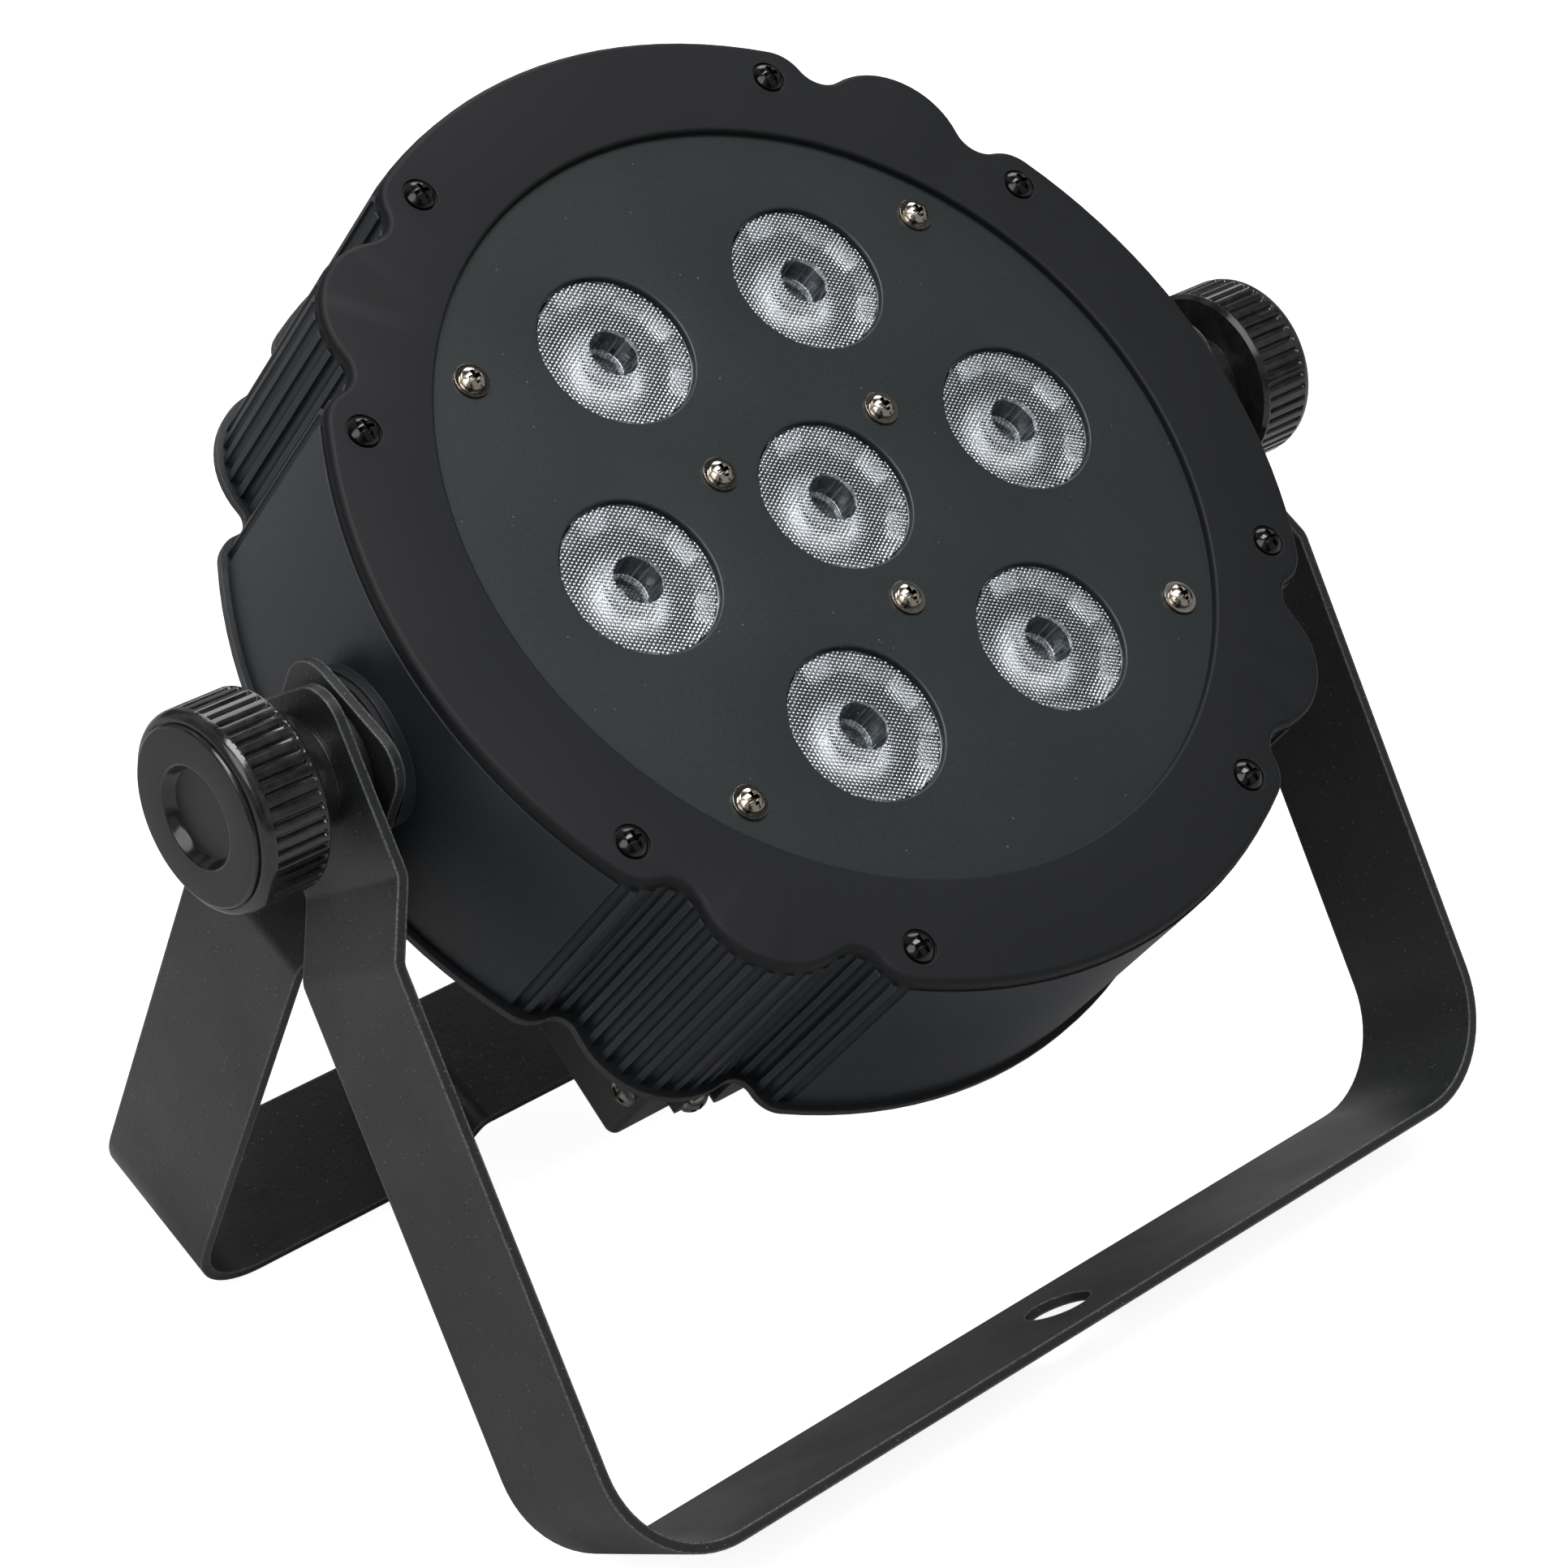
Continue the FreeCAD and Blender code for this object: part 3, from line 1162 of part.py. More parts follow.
def transformer():
    """Wound transformer hanging from the back of the supply board."""
    back = BOARD_BACK - CORE_HEIGHT
    core = centred_block(*CORE_SIZE, back, BOARD_BACK, *TRANSFORMER_PLACE)
    winding = centred_block(*WINDING_SIZE, back + WINDING_INSET, BOARD_BACK - WINDING_INSET,
                            *TRANSFORMER_PLACE)
    winding = rounded_edges(winding, WINDING_CORNER, along_z)
    return joined([core, winding])


def menu_board():
    """Small board with four push switches under the menu buttons."""
    board = block((-MENU_BOARD_HALF_WIDTH, MENU_BOARD_HALF_WIDTH),
                  (MENU_BOARD_BOTTOM, MENU_BOARD_TOP), (MENU_BOARD_BACK, MENU_BOARD_FRONT))
    switch_top = button_stem_end() + BUTTON_TRAVEL + RUNNING_GAP
    switches = [centred_block(SWITCH_WIDTH, SWITCH_WIDTH, switch_top, MENU_BOARD_BACK, x, BUTTON_Y)
                for x in BUTTON_X]
    return joined([board] + switches)


def button_stem_end():
    """Depth of the inner end of a menu button."""
    return BOX_INSIDE_BACK + BUTTON_STEM_REACH


def menu_button(x):
    """Round push button with an inner flange that keeps it in the box."""
    flange_back = BOX_INSIDE_BACK + RUNNING_GAP
    flange_front = flange_back + BUTTON_FLANGE_THICKNESS
    cap = disc(BUTTON_RADIUS, BOX_BACK - BUTTON_RISE, flange_front, x, BUTTON_Y)
    cap = rounded_edges(cap, BUTTON_EDGE, all_at_depth(BOX_BACK - BUTTON_RISE))
    flange = disc(BUTTON_FLANGE_RADIUS, flange_back, flange_front, x, BUTTON_Y)
    stem = disc(BUTTON_STEM_RADIUS, flange_front, button_stem_end(), x, BUTTON_Y)
    return joined([cap, flange, stem])


def display_module():
    """Block of four digits behind the window."""
    return centred_block(DISPLAY_WIDTH - DISPLAY_MARGIN, DISPLAY_HEIGHT - DISPLAY_MARGIN,
                         BOX_INSIDE_BACK + DISPLAY_GAP, MENU_BOARD_BACK, 0, DISPLAY_Y)


def display_window():
    """Clear window let into the back of the box."""
    return centred_block(DISPLAY_WIDTH, DISPLAY_HEIGHT, BOX_BACK, BOX_INSIDE_BACK, 0, DISPLAY_Y)


# ---------------------------------------------------------------- wiring

def lead(points):
    """Insulated lead along straight runs joined by bends."""
    corners = [V(*point) for point in points]
    path = Part.Wire(rounded_path(corners, [LEAD_BEND] * (len(corners) - 2)))
    section = Part.Wire(Part.Circle(corners[0], corners[1] - corners[0], LEAD_RADIUS).toShape())
    return path.makePipeShell([section], True, False)


def mains_leads():
    """Three leads from the mains inlet's tails to the back of the supply board."""
    run = (power_tail() + BOARD_BACK) / 2
    end_y = SUPPLY_BOTTOM + LEAD_INSET
    leads = []
    for i, (x, y) in enumerate(inlet_pin_places()):
        end_x = LEAD_END_X + LEAD_SPACING * i
        leads.append(lead([(x, y, power_tail()), (x, y, run), (end_x, end_y, run),
                           (end_x, end_y, BOARD_BACK)]))
    return Part.makeCompound(leads)


def lamp_leads():
    """Pair of leads from the driver board round the heat sink to the lamp board."""
    run = BOARD_FRONT + LEAD_RISE
    top = LAMP_BOARD_FRONT + LEAD_RISE
    near = BOARD_HALF_WIDTH - LEAD_RUN_INSET
    far = LAMP_BOARD_RADIUS - LEAD_RUN_INSET
    leads = []
    for i in range(2):
        y = DRIVER_TOP - LEAD_INSET - LEAD_SPACING * i
        edge_x = math.sqrt((SINK_RADIUS + SINK_EDGE) ** 2 - y ** 2)
        leads.append(lead([(near, y, BOARD_FRONT), (near, y, run), (edge_x, y, run),
                           (edge_x, y, top), (far, y, top), (far, y, LAMP_BOARD_FRONT)]))
    return Part.makeCompound(leads)


# ---------------------------------------------------------------- assembly

def head_pieces():
    """Every node that turns with the head, in the head frame."""
    plate_screw = pan_screw(PLATE_SCREW_LENGTH, True)
    pieces = {
        "front_cover": front_cover(),
        "housing_body": housing_body(),
        "rear_cover": rear_cover(),
        "rear_box": rear_box(),
        "lens_plate": lens_plate(),
        "lamp_board": lamp_board(),
        "lamp_emitters": Part.makeCompound([moved(emitter(), x, y) for x, y in lens_places()]),
        "heat_sink": heat_sink(),
        "plate_standoffs": Part.makeCompound(
            [moved(plate_standoff(), x, y) for x, y in outer_plate_places() + inner_plate_places()]),
        "rim_screws": screws_at(rim_screw_places(), pan_screw(SCREW_LENGTH),
                                COVER_FRONT - DISH_DEPTH),
        "outer_plate_screws": screws_at(outer_plate_places(), plate_screw, PLATE_FRONT),
        "inner_plate_screws": screws_at(inner_plate_places(), plate_screw, PLATE_FRONT),
        "rear_cover_screws": rear_cover_screws(),
        "box_screws": box_screws(),
        "socket_screws": socket_screws(),
        "pivot_inserts": on_both_sides(pivot_insert),
        "friction_pads": on_both_sides(friction_pad),
        "data_inlet": data_inlet(),
        "data_pins": data_pins(),
        "data_outlet": data_outlet(),
        "data_latch": data_latch(),
        "power_inlet": power_inlet(),
        "power_pins": power_pins(),
        "power_outlet": power_outlet(),
        "fuse_drawer": fuse_drawer(),
        "supply_board": supply_board(),
        "driver_board": driver_board(),
        "transformer": transformer(),
        "menu_board": menu_board(),
        "display_module": display_module(),
        "display_window": display_window(),
        "mains_leads": mains_leads(),
        "lamp_leads": lamp_leads(),
        "thrust_washer_left": thrust_washer(LEFT),
        "thrust_washer_right": thrust_washer(RIGHT),
        "knob_left": knob(LEFT),
        "knob_right": knob(RIGHT),
        "knob_stud_left": knob_stud(LEFT),
        "knob_stud_right": knob_stud(RIGHT),
    }
    for i, (x, y) in enumerate(lens_places()):
        pieces["lens_%d" % i] = moved(lens(), x, y)
        pieces["lens_holder_%d" % i] = moved(lens_holder(), x, y)
    for i, x in enumerate(BUTTON_X):
        pieces["menu_button_%d" % (i + 1)] = menu_button(x)
    return pieces


def pivot_height():
    """Height of the pivot line when the front bracket stands on the edge of its bar."""
    lean = math.radians(FRONT_LEAN)
    return FRONT_BAR * math.cos(lean) + STRIP_WIDTH / 2 * math.sin(lean)


def rear_lean():
    """Lean of the rear bracket that puts the edge of its bar on the same floor."""
    half = STRIP_WIDTH / 2
    corner = math.hypot(REAR_BAR, half)
    return math.degrees(math.atan2(half, REAR_BAR) + math.acos(pivot_height() / corner))


def standing(shape, turn, lift):
    """Turn a shape about the pivot line, then lift it onto the floor."""
    placed = spun(shape, turn, X_AXIS)
    placed.translate(lift)
    return placed


def main():
    """Build every node, stand the lamp on the floor and write one file per node."""
    os.makedirs("parts", exist_ok=True)
    pieces = {name: (shape, HEAD_TILT) for name, shape in head_pieces().items()}
    pieces["front_bracket"] = (front_bracket(), -FRONT_LEAN)
    pieces["spacer_washers"] = (on_both_sides(spacer_washer), -FRONT_LEAN)
    pieces["rear_bracket"] = (rear_bracket(), rear_lean())
    upright = [standing(shape, turn, ORIGIN) for shape, turn in pieces.values()]
    bounds = Part.makeCompound(upright).optimalBoundingBox(False)
    lift = V(0, -bounds.Center.y, pivot_height())
    for name, (shape, turn) in pieces.items():
        standing(shape, turn, lift).exportStep("parts/%s.step" % name)
    print("pivot line at y %.4f z %.4f, rear lean %.3f" % (lift.y, lift.z, rear_lean()))
    print(len(pieces), "nodes")


main()
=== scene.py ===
"""Looks of the par can light: finishes for the CAD parts, and finer lenses and knobs.

Lengths are metres in the frame of the part. The head's own axes are: across (+X), up the face, and beam.
"""
import json
import math

import bmesh
import bpy
from mathutils import Matrix, Quaternion, Vector
from mathutils.geometry import delaunay_2d_cdt


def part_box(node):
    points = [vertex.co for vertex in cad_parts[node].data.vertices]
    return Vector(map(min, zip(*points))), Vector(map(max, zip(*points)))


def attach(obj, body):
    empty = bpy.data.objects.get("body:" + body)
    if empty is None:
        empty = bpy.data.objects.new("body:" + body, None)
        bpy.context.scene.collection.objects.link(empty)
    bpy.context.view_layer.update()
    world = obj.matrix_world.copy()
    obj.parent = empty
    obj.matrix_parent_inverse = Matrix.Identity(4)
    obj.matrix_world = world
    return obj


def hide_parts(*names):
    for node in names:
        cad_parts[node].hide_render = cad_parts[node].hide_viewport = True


MM = 0.001

# ---------------------------------------------------------------- view and light

CAMERA_STAND = (-43.76, 27.70)      # azimuth and elevation of the camera seen from the pivot, degrees
CAMERA_DISTANCE = 0.7646            # from the middle of the pivot line
CAMERA_HEADING = 43.96              # the way the camera looks, from +Y towards +X, degrees
CAMERA_PITCH = -30.63
CAMERA_ROLL = 0.69
CAMERA_LENS = 97.12                 # mm
CAMERA_SENSOR = 36.0                # mm
FLOOR_HALF = 4.0
FLOOR_GLOW = 0.90                   # what the camera sees of the floor even in full shadow
FLOOR_DARK = (0.55, 0.55, 0.55)
FLOOR_LIGHT = (0.6, 0.6, 0.6)
FLOOR_CLOUD = 0.5
AMBIENT = 0.15                      # strength of the surroundings for matt surfaces
PATCH_SCALE = 2.4                   # bright and dark patches of the surroundings, seen through the lenses
PATCH_STEP = (0.47, 0.53)           # values of the pattern where dark ends and where bright begins
PATCH_DARK = 0.03
PATCH_BRIGHT = 5.0
PATCH_IN_METAL = 0.06               # share of the patches' strength in reflections
WHITE = (1.0, 1.0, 1.0)

# ---------------------------------------------------------------- finishes

NOISE_RANGE = (0.3, 0.7)            # most values of a noise pattern lie between these
BEVEL_SAMPLES = 6
SHELTER_SAMPLES = 8
PAINTED_SHADE_OPEN_RANGE = (0.45, 0.8)         # how open a place must be to count as deep in a recess, and as open, for the painted shade in recesses
WORN_AND_LIT_EDGE_COSINE = 0.93             # true against rounded normal, where the edge mask for wear and painted edge highlights is full
WEAR_LIGHTENING = 2.2
# painted shade: share of the metal's own colour left deep in its recesses
RECESS_PAINTED_SHADE = 0.04
SCRATCHED_GLOSS = (0.7, 1.4)        # roughness between and on scratches, as a share of the metal's own
PIT_BLACK = (0.002, 0.002, 0.002)
PLATE_DARK = (0.0150, 0.0185, 0.0190)
PLATE_LIGHT = (0.0190, 0.0225, 0.0230)
PLATE_DUST = (0.12, 0.12, 0.12)
# painted highlight along the plate's edges
PLATE_EDGE_HIGHLIGHT = (0.05, 0.052, 0.054)
ACRYLIC_IOR = 1.49
DARKER_SCREWS = ("box_screws", "socket_screws")

# ---------------------------------------------------------------- sizes of the finer pieces

SHARP_ANGLE = math.radians(32)
WELD_DISTANCE = 1e-6

LENS_COUNT = 7
LENS_SEGMENTS = 360
PEBBLE_STEPS = 5                    # mesh steps from one pebble to the next
DELAUNAY_MARGIN = 1e-7
WAVES_LOWEST = -1.5                 # sum of the three waves between the pebbles
WAVES_HIGHEST = 3.0                 # and on top of them
PEBBLE_PITCH = 0.80 * MM
PEBBLE_HEIGHT = 0.17 * MM
# painted highlight: colour of the pebbles' crowns in full light and on the shaded side; painted shade: colour
# between the pebbles
LENS_CROWN_PAINTED_HIGHLIGHT = (1.0, 1.0, 1.0)
LENS_CROWN_PAINTED_SHADE = (0.70, 0.735, 0.76)
LENS_VALLEY_PAINTED_SHADE = (0.24, 0.255, 0.27)
LENS_CROWN_WAVES = (-1.2, 2.2)      # sums of the waves with the valley's full painted shade and the crown's full painted highlight
LENS_PAINTED_LIGHT_SIDE = (-0.25, -0.97)   # direction, on the face, of the side with the brightest painted highlights
LENS_PAINTED_LIGHT_RUN = (-1 * MM, 11 * MM)    # stretch along it over which the crowns' painted highlights brighten
LENS_PAINTED_LIGHT_PATCH_EDGE = (0.4, 0.6)
LENS_PAINTED_LIGHT_PATCH_SHARE = (0.75, 1.0)      # how bright the crowns' painted highlights are in dim patches, and elsewhere
LENS_POLISH = (0.01, 0.05)
LENS_GLINT = 0.30                   # share of the light that the pebbles throw straight back
LENS_GLINT_ROUGHNESS = 0.3
LENS_DOME_RINGS = 4
LENS_CONE_RINGS = 6
LENS_PAINTED_SHADE_BANDS = (2, 5)            # the bands of the cone, counted from the top, whose darker silvering is painted shade
LENS_RADIUS = 14.8 * MM
LENS_EDGE_ROUND = 0.25 * MM
LENS_FLANGE_RADIUS = 16.6 * MM
LENS_FLANGE_TOP = 0.7 * MM          # depths below the face
LENS_FLANGE_BOTTOM = 2.2 * MM
LENS_DEPTH = 12.0 * MM
LENS_FOOT_RADIUS = 6.6 * MM
LENS_FLUTES = 14
LENS_FLUTE_DEPTH = 0.25 * MM
LENS_POCKET_RADIUS = 4.6 * MM
LENS_POCKET_DEPTH = 4.0 * MM
LENS_RECESS_RADIUS = 4.7 * MM
LENS_RECESS_DEPTH = 6.0 * MM
LENS_RECESS_TAPER = 0.3 * MM
LENS_DOME_RISE = 1.2 * MM

KNOB_RADIUS = 18.0 * MM
KNOB_THICKNESS = 14.5 * MM          # face to back
KNOB_LENGTH = 21.2 * MM             # face to the end of the collar
KNOB_EDGE = 0.8 * MM
COLLAR_RADIUS = 10.5 * MM
STUD_SPACE = 4.0 * MM
STUD_HEAD_SPACE = 7.6 * MM
KNOB_FACE_WALL = 9.1 * MM           # face to the end of the stud's head
RIB_COUNT = 46
RIB_STEPS = 12
GROOVE_HALF_WIDTH = 0.19            # as a share of the spacing of the ribs
GROOVE_DEPTH = 0.75 * MM
GROOVE_START = 1.1 * MM             # from the back
GROOVE_END = 3.1 * MM               # from the face
GROOVE_RUN_OUT = 0.7 * MM
GROOVE_END_STEPS = 4
SHOULDER_STEPS = 5
SHOULDER_WIDTH = 1.5 * MM
SHOULDER_HEIGHT = 2.2 * MM
LIP_WIDTH = 0.25 * MM
FACE_EDGE = 0.5 * MM
RECESS_RADIUS = 8.9 * MM
RECESS_FLOOR_RADIUS = 7.9 * MM
RECESS_DEPTH = 2.0 * MM

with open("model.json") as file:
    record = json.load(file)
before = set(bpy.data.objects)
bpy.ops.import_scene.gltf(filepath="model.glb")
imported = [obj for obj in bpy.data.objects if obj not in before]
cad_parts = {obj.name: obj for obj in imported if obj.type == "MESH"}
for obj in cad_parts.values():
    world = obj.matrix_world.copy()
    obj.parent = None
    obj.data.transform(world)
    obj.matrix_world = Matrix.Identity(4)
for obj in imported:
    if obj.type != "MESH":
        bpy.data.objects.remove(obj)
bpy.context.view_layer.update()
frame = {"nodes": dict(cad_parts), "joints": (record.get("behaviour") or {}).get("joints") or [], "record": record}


# ---------------------------------------------------------------- the head's own axes

def joint(name):
    """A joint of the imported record."""
    return next(j for j in frame["joints"] if j["name"] == name)


PIVOT = Vector(joint("head_tilt")["pos_m"])
ACROSS = Vector((1.0, 0.0, 0.0))
BEAM = Vector(joint("menu_button_1_press")["axis"]).normalized()
UP_FACE = BEAM.cross(ACROSS)
HEAD = Matrix.Translation(PIVOT) @ Matrix((ACROSS, UP_FACE, BEAM)).transposed().to_4x4()


def box_in(matrix, node):
    """Lowest and highest corner of a CAD node along the axes of a matrix."""
    inverse = matrix.inverted()
    points = [inverse @ v.co for v in frame["nodes"][node].data.vertices]
    low = Vector([min(p[i] for p in points) for i in range(3)])
    high = Vector([max(p[i] for p in points) for i in range(3)])
    return low, high


# ---------------------------------------------------------------- materials

def hexagon_waves(pitch):
    """Wave vectors whose three cosines together peak on a hexagonal pattern of this pitch."""
    size = 4 * math.pi / (math.sqrt(3) * pitch)
    return [(size * math.cos(math.radians(a)), size * math.sin(math.radians(a))) for a in (0, 60, 120)]


class Finish:
    """A node material under construction, in object coordinates, with lengths in metres."""

    def __init__(self, name):
        self.material = bpy.data.materials.new(name)
        self.material.use_nodes = True
        self.tree = self.material.node_tree
        self.tree.nodes.clear()
        self.output = self.node("ShaderNodeOutputMaterial")
        self.surface = self.node("ShaderNodeBsdfPrincipled")
        self.link(self.surface.outputs["BSDF"], self.output.inputs["Surface"])
        self.place = self.node("ShaderNodeTexCoord").outputs["Object"]

    def node(self, kind, **values):
        made = self.tree.nodes.new(kind)
        for name, value in values.items():
            setattr(made, name, value)
        return made

    def link(self, source, target):
        self.tree.links.new(source, target)

    def set(self, **values):
        """Fixed inputs of the surface, with underscores for spaces."""
        for name, value in values.items():
            self.surface.inputs[name.replace("_", " ")].default_value = value
        return self

    def noise(self, size, detail=2.0, roughness=0.5):
        """Soft random pattern whose blotches are about this long."""
        made = self.node("ShaderNodeTexNoise")
        made.inputs["Scale"].default_value = 1.0 / size
        made.inputs["Detail"].default_value = detail
        made.inputs["Roughness"].default_value = roughness
        self.link(self.place, made.inputs["Vector"])
        return made.outputs["Fac"]

    def cells(self, size):
        """Distance to the nearest of random points about this far apart, in cells."""
        made = self.node("ShaderNodeTexVoronoi")
        made.inputs["Scale"].default_value = 1.0 / size
        self.link(self.place, made.inputs["Vector"])
        return made.outputs["Distance"]

    def along(self, direction):
        """How far a point lies along a direction of the object's XY plane."""
        made = self.node("ShaderNodeVectorMath", operation="DOT_PRODUCT")
        made.inputs[1].default_value = (*direction, 0.0)
        self.link(self.place, made.inputs[0])
        return made.outputs["Value"]

    def hexagons(self, pitch):
        """Sum of three waves that peaks on a hexagonal pattern in the object's XY plane."""
        total = None
        for direction in hexagon_waves(pitch):
            wave = self.node("ShaderNodeMath", operation="COSINE")
            self.link(self.along(direction), wave.inputs[0])
            if total is None:
                total = wave.outputs["Value"]
                continue
            added = self.node("ShaderNodeMath", operation="ADD")
            self.link(total, added.inputs[0])
            self.link(wave.outputs["Value"], added.inputs[1])
            total = added.outputs["Value"]
        return total

    def spread(self, source, low, high, to_low=0.0, to_high=1.0):
        """Maps a range of one value to another range."""
        made = self.node("ShaderNodeMapRange")
        limits = {"From Min": low, "From Max": high, "To Min": to_low, "To Max": to_high}
        for name, value in limits.items():
            made.inputs[name].default_value = value
        self.link(source, made.inputs["Value"])
        return made.outputs["Result"]

    def mix(self, share, first, second):
        """Mixes two colours by a share, which is a socket."""
        made = self.node("ShaderNodeMix", data_type="RGBA")
        self.link(share, made.inputs["Factor"])
        for slot, colour in (("A", first), ("B", second)):
            target = next(i for i in made.inputs if i.name == slot and i.type == "RGBA")
            if hasattr(colour, "links"):
                self.link(colour, target)
            else:
                target.default_value = (*colour, 1.0)
        return next(o for o in made.outputs if o.type == "RGBA")

    def product(self, first, second):
        made = self.node("ShaderNodeMath", operation="MULTIPLY")
        self.link(first, made.inputs[0])
        self.link(second, made.inputs[1])
        return made.outputs["Value"]

    def specks(self, spacing, rim, patches, cover):
        """1 in small round specks at random points of random patches, 0 elsewhere."""
        dots = self.spread(self.cells(spacing), *rim, 1.0, 0.0)
        areas = self.spread(self.noise(patches, 0.0), *cover)
        return self.product(dots, areas)

    def shelter(self, reach):
        """How open a place is: 0 deep inside a recess narrower than the reach, 1 in the open."""
        made = self.node("ShaderNodeAmbientOcclusion", samples=SHELTER_SAMPLES)
        made.inputs["Distance"].default_value = reach
        return made.outputs["AO"]

    def rounded(self, radius):
        """The surface's normal with sharp edges rounded by a radius."""
        made = self.node("ShaderNodeBevel", samples=BEVEL_SAMPLES)
        made.inputs["Radius"].default_value = radius
        return made.outputs["Normal"]

    def edges(self, radius):
        """Share of the edge mask for wear and painted edge highlights: 0 on flats and smooth curves, towards 1
        next to sharp edges.
        """
        own = self.node("ShaderNodeNewGeometry").outputs["Normal"]
        facing = self.node("ShaderNodeVectorMath", operation="DOT_PRODUCT")
        self.link(self.rounded(radius), facing.inputs[0])
        self.link(own, facing.inputs[1])
        return self.spread(facing.outputs["Value"], 1.0, WORN_AND_LIT_EDGE_COSINE)

    def colour(self, source):
        self.link(source, self.surface.inputs["Base Color"])
        return self

    def gloss(self, source):
        self.link(source, self.surface.inputs["Roughness"])
        return self

    def relief(self, *layers, edge=0.0):
        """Stacks bump layers (pattern, height) over edges rounded by a radius."""
        normal = self.rounded(edge) if edge else None
        for pattern, height in layers:
            bump = self.node("ShaderNodeBump")
            bump.inputs["Distance"].default_value = height
            self.link(pattern, bump.inputs["Height"])
            if normal is not None:
                self.link(normal, bump.inputs["Normal"])
            normal = bump.outputs["Normal"]
        self.link(normal, self.surface.inputs["Normal"])
        return self


def powder_coat(name, dark, light, pale_marks_and_edge_highlight, roughness=(0.36, 0.5)):
    """Black powder coat: orange peel, pale pin-pricks, and paler edges, partly thinner paint and partly a painted
    highlight.
    """
    finish = Finish(name)
    peel = finish.noise(1.1 * MM, 1.0)
    grain = finish.noise(0.3 * MM, 2.0)
    cloud = finish.noise(25 * MM, 3.0)
    base = finish.mix(finish.spread(grain, 0.45, 0.75), dark, light)
    pins = finish.specks(1.3 * MM, rim=(0.08, 0.12), patches=2.0 * MM, cover=(0.5, 0.55))
    # paler edges: partly rubbed paint, partly a painted highlight
    rubbed_and_lit_edges = finish.product(finish.edges(0.7 * MM), finish.spread(grain, 0.3, 0.6))
    finish.colour(finish.mix(rubbed_and_lit_edges, finish.mix(pins, base, pale_marks_and_edge_highlight), pale_marks_and_edge_highlight))
    finish.gloss(finish.spread(cloud, *NOISE_RANGE, *roughness))
    finish.set(Specular_IOR_Level=0.4)
    return finish.relief((peel, 0.05 * MM), (grain, 0.03 * MM), edge=0.35 * MM).material


def moulding(name, dark, light, roughness=(0.42, 0.5), grain_size=0.22 * MM, grain_height=0.008 * MM,
             specular=0.35, pale_marks_and_edge_highlight=None, pitted=False):
    """Dark moulded plastic with a fine spark-eroded grain, perhaps a painted highlight along its edges and a few
    small pits.
    """
    finish = Finish(name)
    grain = finish.noise(grain_size, 3.0, 0.6)
    cloud = finish.noise(30 * MM, 3.0)
    base = finish.mix(finish.spread(cloud, *NOISE_RANGE), dark, light)
    if pale_marks_and_edge_highlight:
        # painted highlight: paler colour along the edges
        base = finish.mix(finish.edges(0.35 * MM), base, pale_marks_and_edge_highlight)
    if pitted:
        pits = finish.specks(5.0 * MM, rim=(0.05, 0.08), patches=9 * MM, cover=(0.52, 0.54))
        base = finish.mix(pits, base, PIT_BLACK)
    finish.colour(base)
    finish.gloss(finish.spread(grain, *NOISE_RANGE, *roughness))
    finish.set(Specular_IOR_Level=specular)
    return finish.relief((grain, grain_height), edge=0.25 * MM).material


def dusty_plate(name):
    """Flat dark paint on the lens plate, with a few pale dust specks and a painted highlight along its edges."""
    finish = Finish(name)
    grain = finish.noise(0.35 * MM, 2.0)
    cloud = finish.noise(40 * MM, 3.0)
    base = finish.mix(finish.spread(cloud, *NOISE_RANGE), PLATE_DARK, PLATE_LIGHT)
    dust = finish.specks(2.6 * MM, rim=(0.05, 0.07), patches=6 * MM, cover=(0.58, 0.6))
    dusted = finish.mix(dust, base, PLATE_DUST)
    # painted highlight along the edges
    finish.colour(finish.mix(finish.edges(0.3 * MM), dusted, PLATE_EDGE_HIGHLIGHT))
    finish.gloss(finish.spread(grain, *NOISE_RANGE, 0.33, 0.42))
    finish.set(Specular_IOR_Level=0.4)
    return finish.relief((grain, 0.015 * MM), edge=0.2 * MM).material


def glossy_black(name, base, roughness, specular=0.5):
    """Polished black plastic or oxide with faint handling marks."""
    finish = Finish(name)
    wear = finish.noise(3 * MM, 4.0, 0.6)
    lightened = tuple(WEAR_LIGHTENING * c for c in base)
    finish.colour(finish.mix(finish.spread(wear, 0.35, 0.75), base, lightened))
    finish.gloss(finish.spread(wear, *NOISE_RANGE, *roughness))
    finish.set(Specular_IOR_Level=specular)
    return finish.relief((wear, 0.01 * MM), edge=0.12 * MM).material


def plated(name, tint, roughness, tarnish, reach=0.0):
    """Plated or turned metal with slight tarnish and fine scratches, and painted shade deep in its recesses."""
    finish = Finish(name)
    cloud = finish.noise(1.5 * MM, 4.0, 0.6)
    scratches = finish.noise(0.12 * MM, 2.0)
    colour = finish.mix(finish.spread(cloud, 0.45, 0.8), tint, tarnish)
    # painted shade: the colour darkens deep in recesses
    if reach:
        painted_shade_openness = finish.spread(finish.shelter(reach), *PAINTED_SHADE_OPEN_RANGE)
        colour = finish.mix(painted_shade_openness, tuple(RECESS_PAINTED_SHADE * c for c in tint), colour)
    finish.colour(colour)
    finish.gloss(finish.spread(scratches, *NOISE_RANGE, *(roughness * share for share in SCRATCHED_GLOSS)))
    finish.set(Metallic=1.0)
    return finish.relief((scratches, 0.002 * MM), edge=0.08 * MM).material


